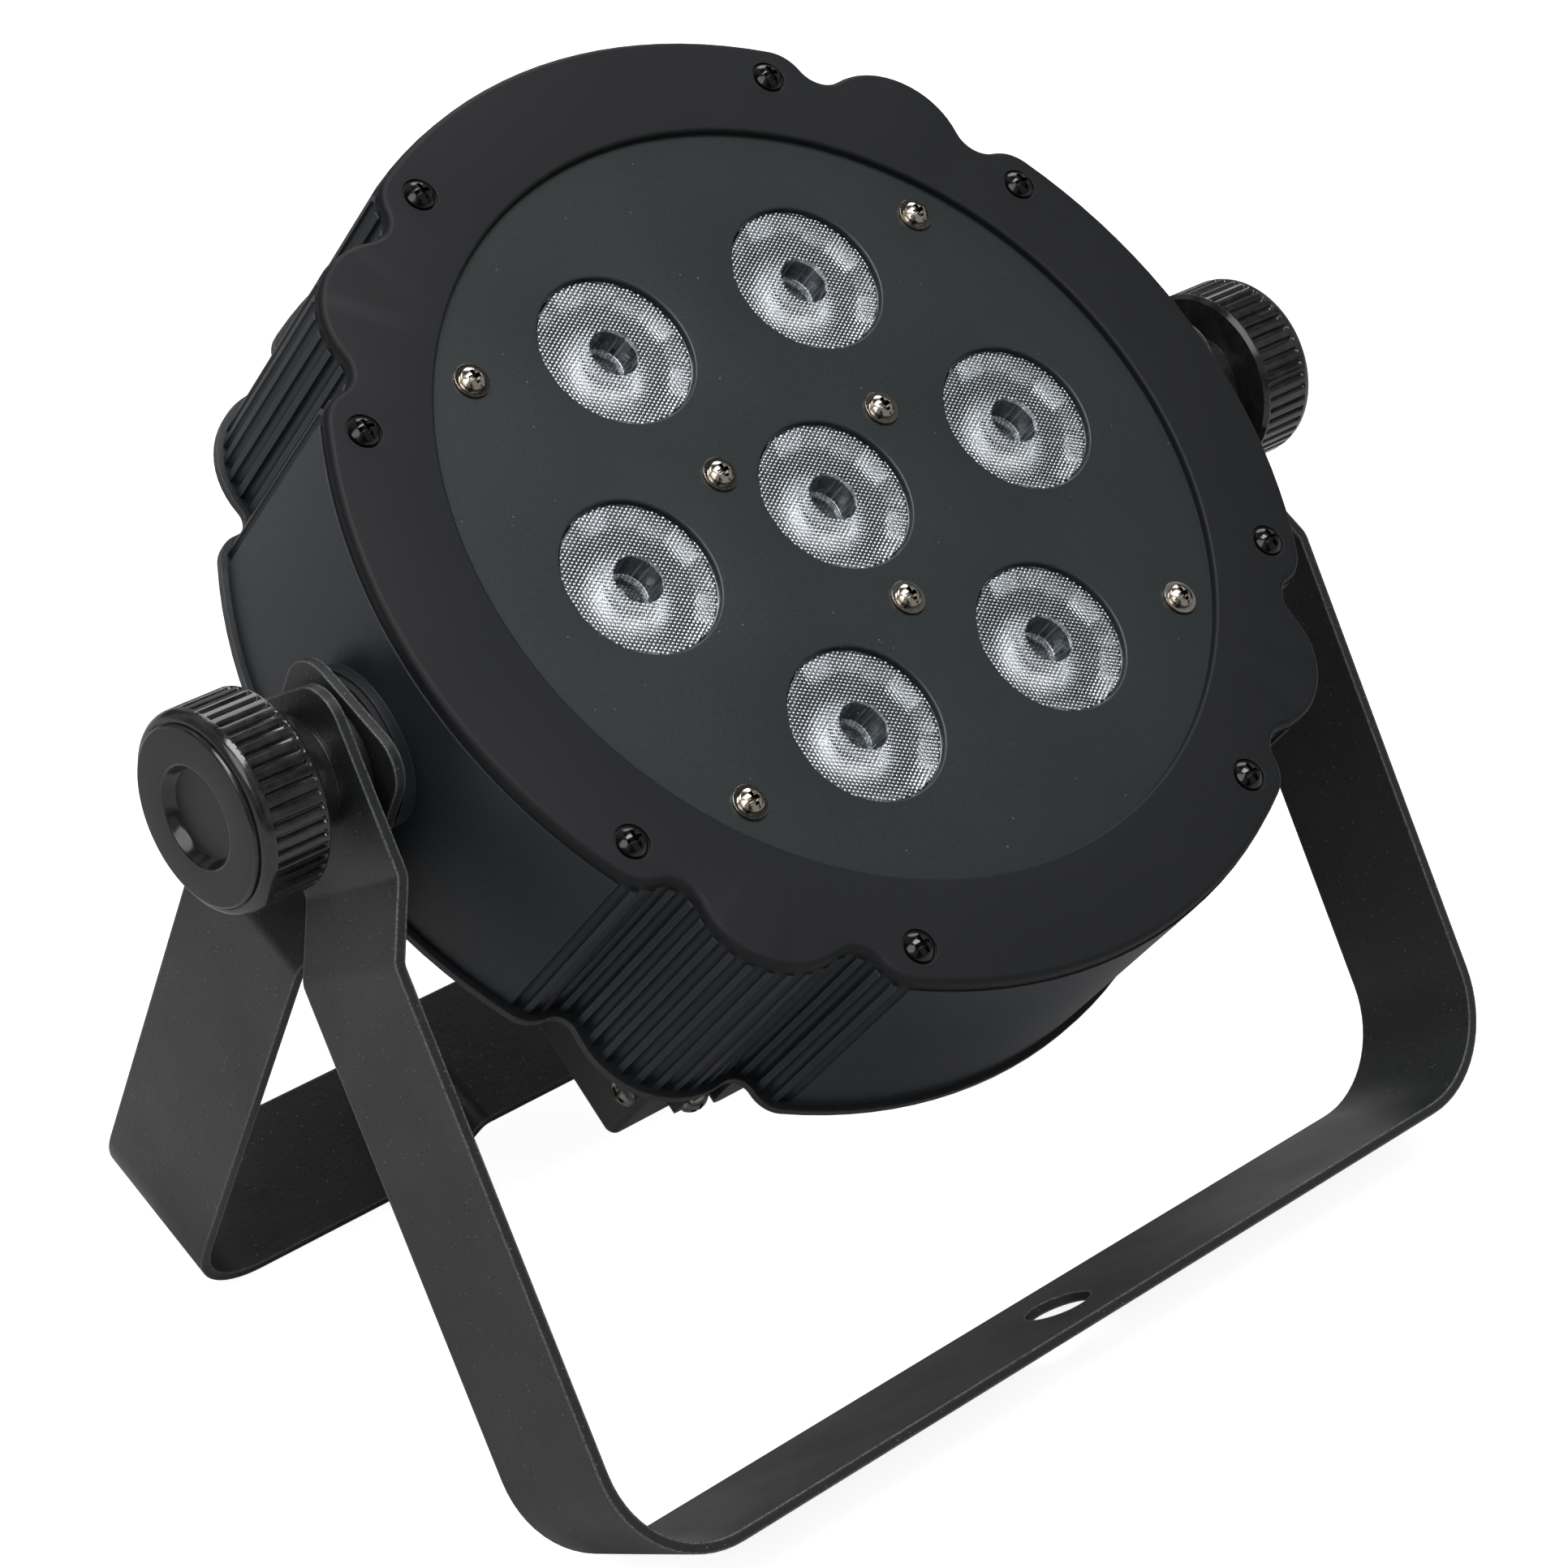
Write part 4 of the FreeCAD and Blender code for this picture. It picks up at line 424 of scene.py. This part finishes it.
def lens_material(name):
    """Clear moulded acrylic with painted highlights on the pebbles' crowns and painted shade between them,
    brighter towards one side and dimmer in patches.
    """
    finish = Finish(name)
    cloud = finish.noise(6 * MM, 2.0)
    crown_highlight_share = finish.spread(finish.hexagons(PEBBLE_PITCH), *LENS_CROWN_WAVES)
    # painted light: crowns brighter towards one side and dimmer in patches
    painted_light_patches = finish.spread(finish.noise(5 * MM, 1.0), *LENS_PAINTED_LIGHT_PATCH_EDGE, *LENS_PAINTED_LIGHT_PATCH_SHARE)
    painted_light_side = finish.spread(finish.along(LENS_PAINTED_LIGHT_SIDE), *LENS_PAINTED_LIGHT_RUN)
    crown_painted_light = finish.mix(finish.product(painted_light_side, painted_light_patches), LENS_CROWN_PAINTED_SHADE, LENS_CROWN_PAINTED_HIGHLIGHT)
    # painted highlights on the crowns, painted shade in the valleys
    colour = finish.mix(crown_highlight_share, LENS_VALLEY_PAINTED_SHADE, crown_painted_light)
    finish.colour(colour)
    finish.gloss(finish.spread(cloud, *NOISE_RANGE, *LENS_POLISH))
    finish.set(Transmission_Weight=1.0, IOR=ACRYLIC_IOR)
    glint = finish.node("ShaderNodeBsdfPrincipled")
    glint.inputs["Metallic"].default_value = 1.0
    glint.inputs["Roughness"].default_value = LENS_GLINT_ROUGHNESS
    finish.link(colour, glint.inputs["Base Color"])
    blend = finish.node("ShaderNodeMixShader")
    blend.inputs["Fac"].default_value = LENS_GLINT
    finish.link(finish.surface.outputs["BSDF"], blend.inputs[1])
    finish.link(glint.outputs["BSDF"], blend.inputs[2])
    finish.link(blend.outputs["Shader"], finish.output.inputs["Surface"])
    return finish.material


def painted_board(name, base, light):
    """Solder mask over copper tracks."""
    finish = Finish(name)
    tracks = finish.cells(2.2 * MM)
    cloud = finish.noise(8 * MM, 3.0)
    finish.colour(finish.mix(finish.spread(tracks, 0.25, 0.3), light, base))
    finish.gloss(finish.spread(cloud, *NOISE_RANGE, 0.25, 0.4))
    return finish.relief((tracks, 0.03 * MM)).material


def tinted(name, base, light, roughness, size=4 * MM, height=0.01 * MM, **values):
    """Any other solid finish: two close colours in a soft pattern with a little relief."""
    finish = Finish(name)
    cloud = finish.noise(size, 3.0)
    finish.colour(finish.mix(finish.spread(cloud, 0.35, 0.65), base, light))
    finish.gloss(finish.spread(cloud, *NOISE_RANGE, *roughness))
    finish.set(**values)
    return finish.relief((cloud, height), edge=0.15 * MM).material


def all_materials():
    """One material for every slot of the record."""
    return {
        "cover_plastic": moulding("cover_plastic", (0.0072, 0.0078, 0.0090), (0.0088, 0.0094, 0.0106),
                                  roughness=(0.52, 0.6), specular=0.2, pale_marks_and_edge_highlight=(0.022, 0.023, 0.025)),
        "body_plastic": moulding("body_plastic", (0.0135, 0.0158, 0.0200), (0.0155, 0.0180, 0.0225),
                                 grain_size=0.45 * MM, grain_height=0.03 * MM,
                                 pale_marks_and_edge_highlight=(0.030, 0.033, 0.038), pitted=True),
        "back_metal": powder_coat("back_metal", (0.0125, 0.0140, 0.0160), (0.018, 0.0195, 0.0215),
                                  (0.05, 0.05, 0.05)),
        "plate_metal": dusty_plate("plate_metal"),
        "bracket_paint": powder_coat("bracket_paint", (0.013, 0.014, 0.014), (0.026, 0.027, 0.027),
                                     (0.17, 0.175, 0.18)),
        "knob_plastic": glossy_black("knob_plastic", (0.011, 0.011, 0.0115), (0.12, 0.2)),
        "knob_face": moulding("knob_face", (0.014, 0.0145, 0.0145), (0.017, 0.0175, 0.0175),
                              roughness=(0.4, 0.5)),
        "washer_black": tinted("washer_black", (0.004, 0.004, 0.004), (0.006, 0.006, 0.006), (0.5, 0.6)),
        "pad_rubber": tinted("pad_rubber", (0.005, 0.005, 0.005), (0.007, 0.007, 0.007), (0.7, 0.8)),
        "black_screw": glossy_black("black_screw", (0.002, 0.002, 0.0022), (0.1, 0.18), specular=0.4),
        "nickel": plated("nickel", (0.62, 0.57, 0.50), 0.14, (0.40, 0.35, 0.28), reach=1.0 * MM),
        "darker_nickel": plated("darker_nickel", (0.24, 0.23, 0.21), 0.3, (0.15, 0.14, 0.13)),
        "steel": plated("steel", (0.6, 0.6, 0.61), 0.28, (0.45, 0.45, 0.45)),
        "brass": plated("brass", (0.78, 0.58, 0.24), 0.25, (0.5, 0.36, 0.14)),
        "lens_clear": lens_material("lens_clear"),
        "silvering": plated("silvering", (0.88, 0.89, 0.90), 0.03, (0.78, 0.79, 0.81)),
        # painted shade: dark silvering for parts of the lens seen through its recess
        "cone_painted_shade": plated("cone_painted_shade", (0.10, 0.11, 0.12), 0.05, (0.06, 0.065, 0.07)),
        "holder_plastic": tinted("holder_plastic", (0.02, 0.02, 0.02), (0.03, 0.03, 0.03), (0.4, 0.5)),
        "board_black": painted_board("board_black", (0.012, 0.012, 0.013), (0.03, 0.03, 0.03)),
        "board_green": painted_board("board_green", (0.012, 0.07, 0.03), (0.03, 0.12, 0.05)),
        "emitter": tinted("emitter", (0.05, 0.05, 0.05), (0.09, 0.09, 0.08), (0.1, 0.2)),
        "sink_aluminium": plated("sink_aluminium", (0.75, 0.76, 0.77), 0.4, (0.62, 0.63, 0.64)),
        "winding": tinted("winding", (0.7, 0.42, 0.05), (0.75, 0.5, 0.1), (0.3, 0.4)),
        "display_face": tinted("display_face", (0.05, 0.004, 0.004), (0.08, 0.006, 0.006), (0.2, 0.3)),
        "window_plastic": tinted("window_plastic", (0.22, 0.02, 0.02), (0.26, 0.03, 0.03), (0.05, 0.1),
                                 Transmission_Weight=0.8),
        "socket_plastic": moulding("socket_plastic", (0.008, 0.008, 0.0085), (0.011, 0.011, 0.0115),
                                   roughness=(0.3, 0.4)),
        "button_plastic": moulding("button_plastic", (0.010, 0.010, 0.0105), (0.014, 0.014, 0.0145)),
        "lead_jacket": tinted("lead_jacket", (0.30, 0.02, 0.015), (0.36, 0.03, 0.02), (0.4, 0.5)),
    }


def paint(piece, material):
    """Gives a piece one material in every slot."""
    if not piece.data.materials:
        piece.data.materials.append(material)
    for i in range(len(piece.data.materials)):
        piece.data.materials[i] = material


# ---------------------------------------------------------------- smooth CAD surfaces

def smoothing_group():
    """Geometry nodes that weld a CAD mesh and smooth it except across sharp edges."""
    group = bpy.data.node_groups.new("smooth_cad_surface", "GeometryNodeTree")
    group.interface.new_socket("Geometry", in_out="INPUT", socket_type="NodeSocketGeometry")
    group.interface.new_socket("Geometry", in_out="OUTPUT", socket_type="NodeSocketGeometry")
    new, link = group.nodes.new, group.links.new
    source, result = new("NodeGroupInput"), new("NodeGroupOutput")
    weld = new("GeometryNodeMergeByDistance")
    weld.inputs["Distance"].default_value = WELD_DISTANCE
    forget = new("GeometryNodeRemoveAttribute")
    forget.inputs["Name"].default_value = "custom_normal"
    faces = new("GeometryNodeSetShadeSmooth")
    angle = new("GeometryNodeInputMeshEdgeAngle")
    soft = new("FunctionNodeCompare")
    soft.operation = "LESS_THAN"
    soft.inputs["B"].default_value = SHARP_ANGLE
    edges = new("GeometryNodeSetShadeSmooth")
    edges.domain = "EDGE"
    link(source.outputs[0], weld.inputs["Geometry"])
    link(weld.outputs[0], forget.inputs["Geometry"])
    link(forget.outputs[0], faces.inputs["Geometry"])
    link(faces.outputs[0], edges.inputs["Geometry"])
    link(angle.outputs["Unsigned Angle"], soft.inputs["A"])
    link(soft.outputs[0], edges.inputs["Shade Smooth"])
    link(edges.outputs[0], result.inputs[0])
    return group


def dress_cad_nodes(materials):
    """Every CAD node gets its slot's material and smooth shading; the screws at the back get a darker, rougher
    nickel.
    """
    slots = {part["node"]: part["material_slot"] for part in frame["record"]["subparts"]}
    slots.update({name: "darker_nickel" for name in DARKER_SCREWS})
    group = smoothing_group()
    for name, node in frame["nodes"].items():
        paint(node, materials[slots[name]])
        node.modifiers.new("smooth", "NODES").node_group = group


# ---------------------------------------------------------------- mesh helpers

def finished_mesh(bm, name):
    """Turns a bmesh into a smooth mesh with sharp edges only where it folds hard."""
    bmesh.ops.recalc_face_normals(bm, faces=bm.faces)
    for edge in bm.edges:
        edge.smooth = len(edge.link_faces) < 2 or edge.calc_face_angle() < SHARP_ANGLE
    for face in bm.faces:
        face.smooth = True
    mesh = bpy.data.meshes.new(name)
    bm.to_mesh(mesh)
    bm.free()
    return mesh


def placed(name, mesh, matrix, body):
    """A new piece from a mesh, put in place and set to ride on a body."""
    piece = bpy.data.objects.new(name, mesh)
    bpy.context.scene.collection.objects.link(piece)
    piece.matrix_world = matrix
    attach(piece, body)
    return piece


def ring_of(bm, radius_at, height, count):
    """A closed ring of vertices about Z, its radius a function of the angle."""
    ring = []
    for i in range(count):
        angle = 2 * math.pi * i / count
        radius = radius_at(angle)
        ring.append(bm.verts.new((radius * math.cos(angle), radius * math.sin(angle), height)))
    return ring


def skin(bm, rings, material=0):
    """Quads that join each ring to the next one of the same length."""
    for first, second in zip(rings, rings[1:]):
        for i in range(len(first)):
            j = (i + 1) % len(first)
            bm.faces.new((first[i], first[j], second[j], second[i])).material_index = material


def cap(bm, ring, height, material=0):
    """A fan that closes a ring."""
    middle = bm.verts.new((0.0, 0.0, height))
    for i in range(len(ring)):
        bm.faces.new((ring[i], ring[(i + 1) % len(ring)], middle)).material_index = material


# ---------------------------------------------------------------- lenses

def pebble(x, y):
    """Height, at most 0, of a field of round bumps packed in a hexagonal pattern."""
    total = sum(math.cos(x * wx + y * wy) for wx, wy in hexagon_waves(PEBBLE_PITCH))
    return PEBBLE_HEIGHT * (total - WAVES_HIGHEST) / (WAVES_HIGHEST - WAVES_LOWEST)


def pebbled_face(bm, inner, outer):
    """Fills the space between two rings with triangles on a grid that follows the pebbles."""
    step = PEBBLE_PITCH / PEBBLE_STEPS
    column = step * math.sqrt(3) / 2
    reach = int(LENS_RADIUS / column) + 1
    corners = list(inner) + list(outer)
    points = [Vector((corner.co.x, corner.co.y)) for corner in corners]
    for i in range(-reach, reach + 1):
        for j in range(-reach, reach + 1):
            point = Vector((i * column, (j + (i % 2) / 2) * step))
            if LENS_RECESS_RADIUS + step / 2 < point.length < LENS_RADIUS - LENS_EDGE_ROUND - step / 2:
                points.append(point)
                corners.append(bm.verts.new((point.x, point.y, pebble(point.x, point.y))))
    count = len(inner)
    loops = [(i, (i + 1) % count) for i in range(count)]
    loops += [(a + count, b + count) for a, b in loops]
    cut = delaunay_2d_cdt(points, loops, [], 0, DELAUNAY_MARGIN)
    made, triangles, origins = cut[0], cut[2], cut[3]
    for triangle in triangles:
        middle = sum((made[k] for k in triangle), Vector((0.0, 0.0))) / 3
        if middle.length > LENS_RECESS_RADIUS * math.cos(math.pi / count):
            bm.faces.new([corners[origins[k][0]] for k in triangle])


def round_ring(bm, radius, height):
    """A plain circle of the lens."""
    return ring_of(bm, lambda angle: radius, height, LENS_SEGMENTS)


def fluted(radius, angle):
    """The cone's radius with shallow flutes pressed into it."""
    return radius - LENS_FLUTE_DEPTH * abs(math.sin(angle * LENS_FLUTES / 2))


def lens_mesh(bm):
    """A moulded lens below z = 0: pebbled face, recess with a domed floor, silvered cone with bands of painted
    shade, and a pocket.
    """
    clear, silver, dark = range(3)
    floor_radius = LENS_RECESS_RADIUS - LENS_RECESS_TAPER
    dome = []
    for i in range(1, LENS_DOME_RINGS + 1):
        share = i / LENS_DOME_RINGS
        height = LENS_DOME_RISE * (1 - share ** 2) - LENS_RECESS_DEPTH
        dome.append(round_ring(bm, floor_radius * share, height))
    inner = round_ring(bm, LENS_RECESS_RADIUS, 0.0)
    outer = round_ring(bm, LENS_RADIUS - LENS_EDGE_ROUND, 0.0)
    for vertex in inner + outer:
        vertex.co.z = pebble(vertex.co.x, vertex.co.y)
    cap(bm, dome[0], LENS_DOME_RISE - LENS_RECESS_DEPTH, clear)
    skin(bm, dome + [inner], clear)
    pebbled_face(bm, inner, outer)
    edge = round_ring(bm, LENS_RADIUS, -LENS_EDGE_ROUND - PEBBLE_HEIGHT)
    skin(bm, [outer, edge], clear)
    cone = []
    for i in range(LENS_CONE_RINGS + 1):
        share = i / LENS_CONE_RINGS
        radius = LENS_RADIUS + (LENS_FOOT_RADIUS - LENS_RADIUS) * share
        height = -LENS_FLANGE_BOTTOM - (LENS_DEPTH - LENS_FLANGE_BOTTOM) * share
        cone.append(ring_of(bm, lambda a: fluted(radius, a), height, LENS_SEGMENTS))
    flange = [round_ring(bm, LENS_RADIUS, -LENS_FLANGE_TOP),
              round_ring(bm, LENS_FLANGE_RADIUS, -LENS_FLANGE_TOP),
              round_ring(bm, LENS_FLANGE_RADIUS, -LENS_FLANGE_BOTTOM)]
    first, last = LENS_PAINTED_SHADE_BANDS
    skin(bm, [edge] + flange + cone[:first + 1], silver)
    # painted shade: darker silvering on these bands, and on the pocket's cap below
    skin(bm, cone[first:last + 1], dark)
    pocket = [round_ring(bm, LENS_POCKET_RADIUS, -LENS_DEPTH),
              round_ring(bm, LENS_POCKET_RADIUS, LENS_POCKET_DEPTH - LENS_DEPTH)]
    skin(bm, cone[last:] + pocket, silver)
    cap(bm, pocket[-1], LENS_POCKET_DEPTH - LENS_DEPTH, dark)


def lenses(materials):
    """Seven pebbled lenses in place of the plain ones, all sharing one mesh."""
    bm = bmesh.new()
    lens_mesh(bm)
    mesh = finished_mesh(bm, "clear_lens")
    for name in ("lens_clear", "silvering", "cone_painted_shade"):
        mesh.materials.append(materials[name])
    for i in range(LENS_COUNT):
        low, high = box_in(HEAD, "lens_%d" % i)
        place = HEAD @ Matrix.Translation(((low.x + high.x) / 2, (low.y + high.y) / 2, high.z))
        piece = placed("clear_lens_%d" % i, mesh, place, "head")
        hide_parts("lens_%d" % i)


# ---------------------------------------------------------------- knobs

def groove(angle):
    """Share of the full groove depth at an angle round the knob: narrow valleys, broad flat ribs."""
    place = (angle * RIB_COUNT / (2 * math.pi)) % 1.0 - 0.5
    return math.exp(-(place / GROOVE_HALF_WIDTH) ** 4)


def knob_mesh(bm):
    """Knurled knob about +Z with the middle of its face at the origin, bored for its stud."""
    matte = 1
    segments = RIB_COUNT * RIB_STEPS
    back = -KNOB_THICKNESS
    seat = -KNOB_LENGTH
    rings = []

    def add(radius, height, depth=0.0):
        rings.append(ring_of(bm, lambda a: radius - depth * groove(a), height, segments))

    add(STUD_HEAD_SPACE, -KNOB_FACE_WALL)
    add(STUD_HEAD_SPACE, back)
    add(STUD_SPACE, back)
    add(STUD_SPACE, seat)
    add(COLLAR_RADIUS, seat)
    add(COLLAR_RADIUS, back)
    add(KNOB_RADIUS - KNOB_EDGE, back)
    add(KNOB_RADIUS, back + KNOB_EDGE)
    for i in range(GROOVE_END_STEPS + 1):
        share = i / GROOVE_END_STEPS
        height = back + GROOVE_START + GROOVE_RUN_OUT * share
        add(KNOB_RADIUS, height, GROOVE_DEPTH * math.sin(share * math.pi / 2))
    for i in range(GROOVE_END_STEPS + 1):
        share = i / GROOVE_END_STEPS
        height = -GROOVE_END - GROOVE_RUN_OUT * (1 - share)
        add(KNOB_RADIUS, height, GROOVE_DEPTH * math.cos(share * math.pi / 2))
    for i in range(1, SHOULDER_STEPS + 1):
        turn = i / SHOULDER_STEPS * math.pi / 2
        radius = KNOB_RADIUS - SHOULDER_WIDTH * (1 - math.cos(turn))
        add(radius, SHOULDER_HEIGHT * math.sin(turn) - GROOVE_END)
    lip = KNOB_RADIUS - SHOULDER_WIDTH
    top = SHOULDER_HEIGHT - GROOVE_END
    add(lip - LIP_WIDTH, top)
    add(lip - LIP_WIDTH, top - LIP_WIDTH)
    add(lip - 2 * LIP_WIDTH, top - LIP_WIDTH)
    for i in range(SHOULDER_STEPS + 1):
        turn = i / SHOULDER_STEPS * math.pi / 2
        add(lip - 2 * LIP_WIDTH - FACE_EDGE * (1 - math.cos(turn)), -FACE_EDGE * (1 - math.sin(turn)))
    face_from = len(rings) - 1
    add(RECESS_RADIUS + FACE_EDGE, 0.0)
    face_to = len(rings)
    for i in range(1, SHOULDER_STEPS + 1):
        turn = i / SHOULDER_STEPS * math.pi / 3
        add(RECESS_RADIUS + FACE_EDGE * (1 - math.sin(turn)), -FACE_EDGE * (1 - math.cos(turn)))
    add(RECESS_FLOOR_RADIUS + FACE_EDGE, -RECESS_DEPTH + FACE_EDGE)
    add(RECESS_FLOOR_RADIUS, -RECESS_DEPTH)
    skin(bm, rings[:face_from + 1])
    skin(bm, rings[face_from:face_to], matte)
    skin(bm, rings[face_to - 1:])
    cap(bm, rings[0], -KNOB_FACE_WALL)
    cap(bm, rings[-1], -RECESS_DEPTH, matte)


def knobs(materials):
    """Both knobs, with finer ribs than the plain ones they stand for."""
    bm = bmesh.new()
    knob_mesh(bm)
    mesh = finished_mesh(bm, "ribbed_knob")
    for name in ("knob_plastic", "knob_face"):
        mesh.materials.append(materials[name])
    for side, body in ((-1, "left_knob"), (1, "right_knob")):
        node = "knob_left" if side < 0 else "knob_right"
        low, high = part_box(node)
        face = low.x if side < 0 else high.x
        turn = Matrix.Rotation(side * math.pi / 2, 4, "Y")
        place = Matrix.Translation((face, PIVOT.y, PIVOT.z)) @ turn
        piece = placed("ribbed_" + node, mesh, place, body)
        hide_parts(node)


# ---------------------------------------------------------------- floor, light and camera

def floor():
    """Plain pale floor, far larger than the view."""
    bm = bmesh.new()
    corners = [(-1, -1), (1, -1), (1, 1), (-1, 1)]
    bm.faces.new([bm.verts.new((x * FLOOR_HALF, y * FLOOR_HALF, 0.0)) for x, y in corners])
    mesh = bpy.data.meshes.new("floor")
    bm.to_mesh(mesh)
    bm.free()
    piece = bpy.data.objects.new("floor", mesh)
    bpy.context.scene.collection.objects.link(piece)
    finish = Finish("floor_paint")
    cloud = finish.noise(FLOOR_CLOUD, 2.0)
    finish.colour(finish.mix(cloud, FLOOR_DARK, FLOOR_LIGHT))
    finish.set(Roughness=0.9, Specular_IOR_Level=0.1, Emission_Color=(*WHITE, 1.0))
    seen = finish.node("ShaderNodeLightPath").outputs["Is Camera Ray"]
    finish.link(finish.spread(seen, 0.0, 1.0, 0.0, FLOOR_GLOW), finish.surface.inputs["Emission Strength"])
    paint(piece, finish.material)


def seen_from(azimuth, elevation):
    """Direction from the lamp towards a viewpoint; the front is azimuth 0."""
    a, e = math.radians(azimuth), math.radians(elevation)
    return Vector((math.sin(a) * math.cos(e), -math.cos(a) * math.cos(e), math.sin(e)))


def softbox(name, azimuth, elevation, distance, size, power):
    """A square area light aimed at the lamp."""
    out = seen_from(azimuth, elevation)
    data = bpy.data.lights.new(name, "AREA")
    data.shape = "SQUARE"
    data.size = size
    data.energy = power
    light = bpy.data.objects.new(name, data)
    light.location = PIVOT + out * distance
    light.rotation_mode = "QUATERNION"
    light.rotation_quaternion = (-out).to_track_quat("-Z", "Y")
    bpy.context.scene.collection.objects.link(light)


def surroundings():
    """The studio round the floor: white to the camera, dim to matt surfaces, patchy to shiny ones."""
    world = bpy.data.worlds.new("studio")
    bpy.context.scene.world = world
    world.use_nodes = True
    tree = world.node_tree
    tree.nodes.clear()
    output = tree.nodes.new("ShaderNodeOutputWorld")
    ray = tree.nodes.new("ShaderNodeLightPath")
    place = tree.nodes.new("ShaderNodeTexCoord")
    patches = tree.nodes.new("ShaderNodeTexNoise")
    patches.inputs["Scale"].default_value = PATCH_SCALE
    patches.inputs["Detail"].default_value = 0.0
    tree.links.new(place.outputs["Generated"], patches.inputs["Vector"])
    steps = tree.nodes.new("ShaderNodeMapRange")
    first, last = PATCH_STEP
    limits = {"From Min": first, "From Max": last, "To Min": PATCH_DARK, "To Max": PATCH_BRIGHT}
    for name, value in limits.items():
        steps.inputs[name].default_value = value
    tree.links.new(patches.outputs["Fac"], steps.inputs["Value"])
    share = tree.nodes.new("ShaderNodeMath")
    share.operation = "MULTIPLY"
    share.inputs[1].default_value = PATCH_IN_METAL
    tree.links.new(steps.outputs["Result"], share.inputs[0])
    shades = []
    for strength in (AMBIENT, share.outputs["Value"], steps.outputs["Result"], 1.0):
        background = tree.nodes.new("ShaderNodeBackground")
        background.inputs["Color"].default_value = (*WHITE, 1.0)
        if isinstance(strength, float):
            background.inputs["Strength"].default_value = strength
        else:
            tree.links.new(strength, background.inputs["Strength"])
        shades.append(background.outputs["Background"])
    shown = shades[0]
    tests = ("Is Glossy Ray", "Is Transmission Ray", "Is Camera Ray")
    for test, shade in zip(tests, shades[1:]):
        mixer = tree.nodes.new("ShaderNodeMixShader")
        tree.links.new(ray.outputs[test], mixer.inputs["Fac"])
        tree.links.new(shown, mixer.inputs[1])
        tree.links.new(shade, mixer.inputs[2])
        shown = mixer.outputs["Shader"]
    tree.links.new(shown, output.inputs["Surface"])


def camera():
    """The main view: from the lamp's left front, above it."""
    heading, pitch = math.radians(CAMERA_HEADING), math.radians(CAMERA_PITCH)
    looking = Vector((math.sin(heading) * math.cos(pitch), math.cos(heading) * math.cos(pitch),
                      math.sin(pitch)))
    data = bpy.data.cameras.new("main_view")
    data.sensor_width = CAMERA_SENSOR
    data.lens = CAMERA_LENS
    piece = bpy.data.objects.new("main_view", data)
    piece.location = PIVOT + seen_from(*CAMERA_STAND) * CAMERA_DISTANCE
    piece.rotation_mode = "QUATERNION"
    upright = looking.to_track_quat("-Z", "Y")
    piece.rotation_quaternion = upright @ Quaternion((0, 0, 1), math.radians(CAMERA_ROLL))
    bpy.context.scene.collection.objects.link(piece)
    bpy.context.scene.camera = piece


def studio():
    """Soft light from the left, above and behind over a pale floor."""
    floor()
    surroundings()
    softbox("key", azimuth=-70, elevation=45, distance=1.6, size=1.0, power=10)
    softbox("top", azimuth=10, elevation=80, distance=1.7, size=0.9, power=27)
    softbox("back", azimuth=140, elevation=38, distance=1.9, size=1.0, power=10)
    camera()
    bpy.context.scene.view_settings.view_transform = "Standard"


# ---------------------------------------------------------------- main

def main():
    """Dresses the lamp and sets the studio."""
    materials = all_materials()
    dress_cad_nodes(materials)
    lenses(materials)
    knobs(materials)
    studio()


main()
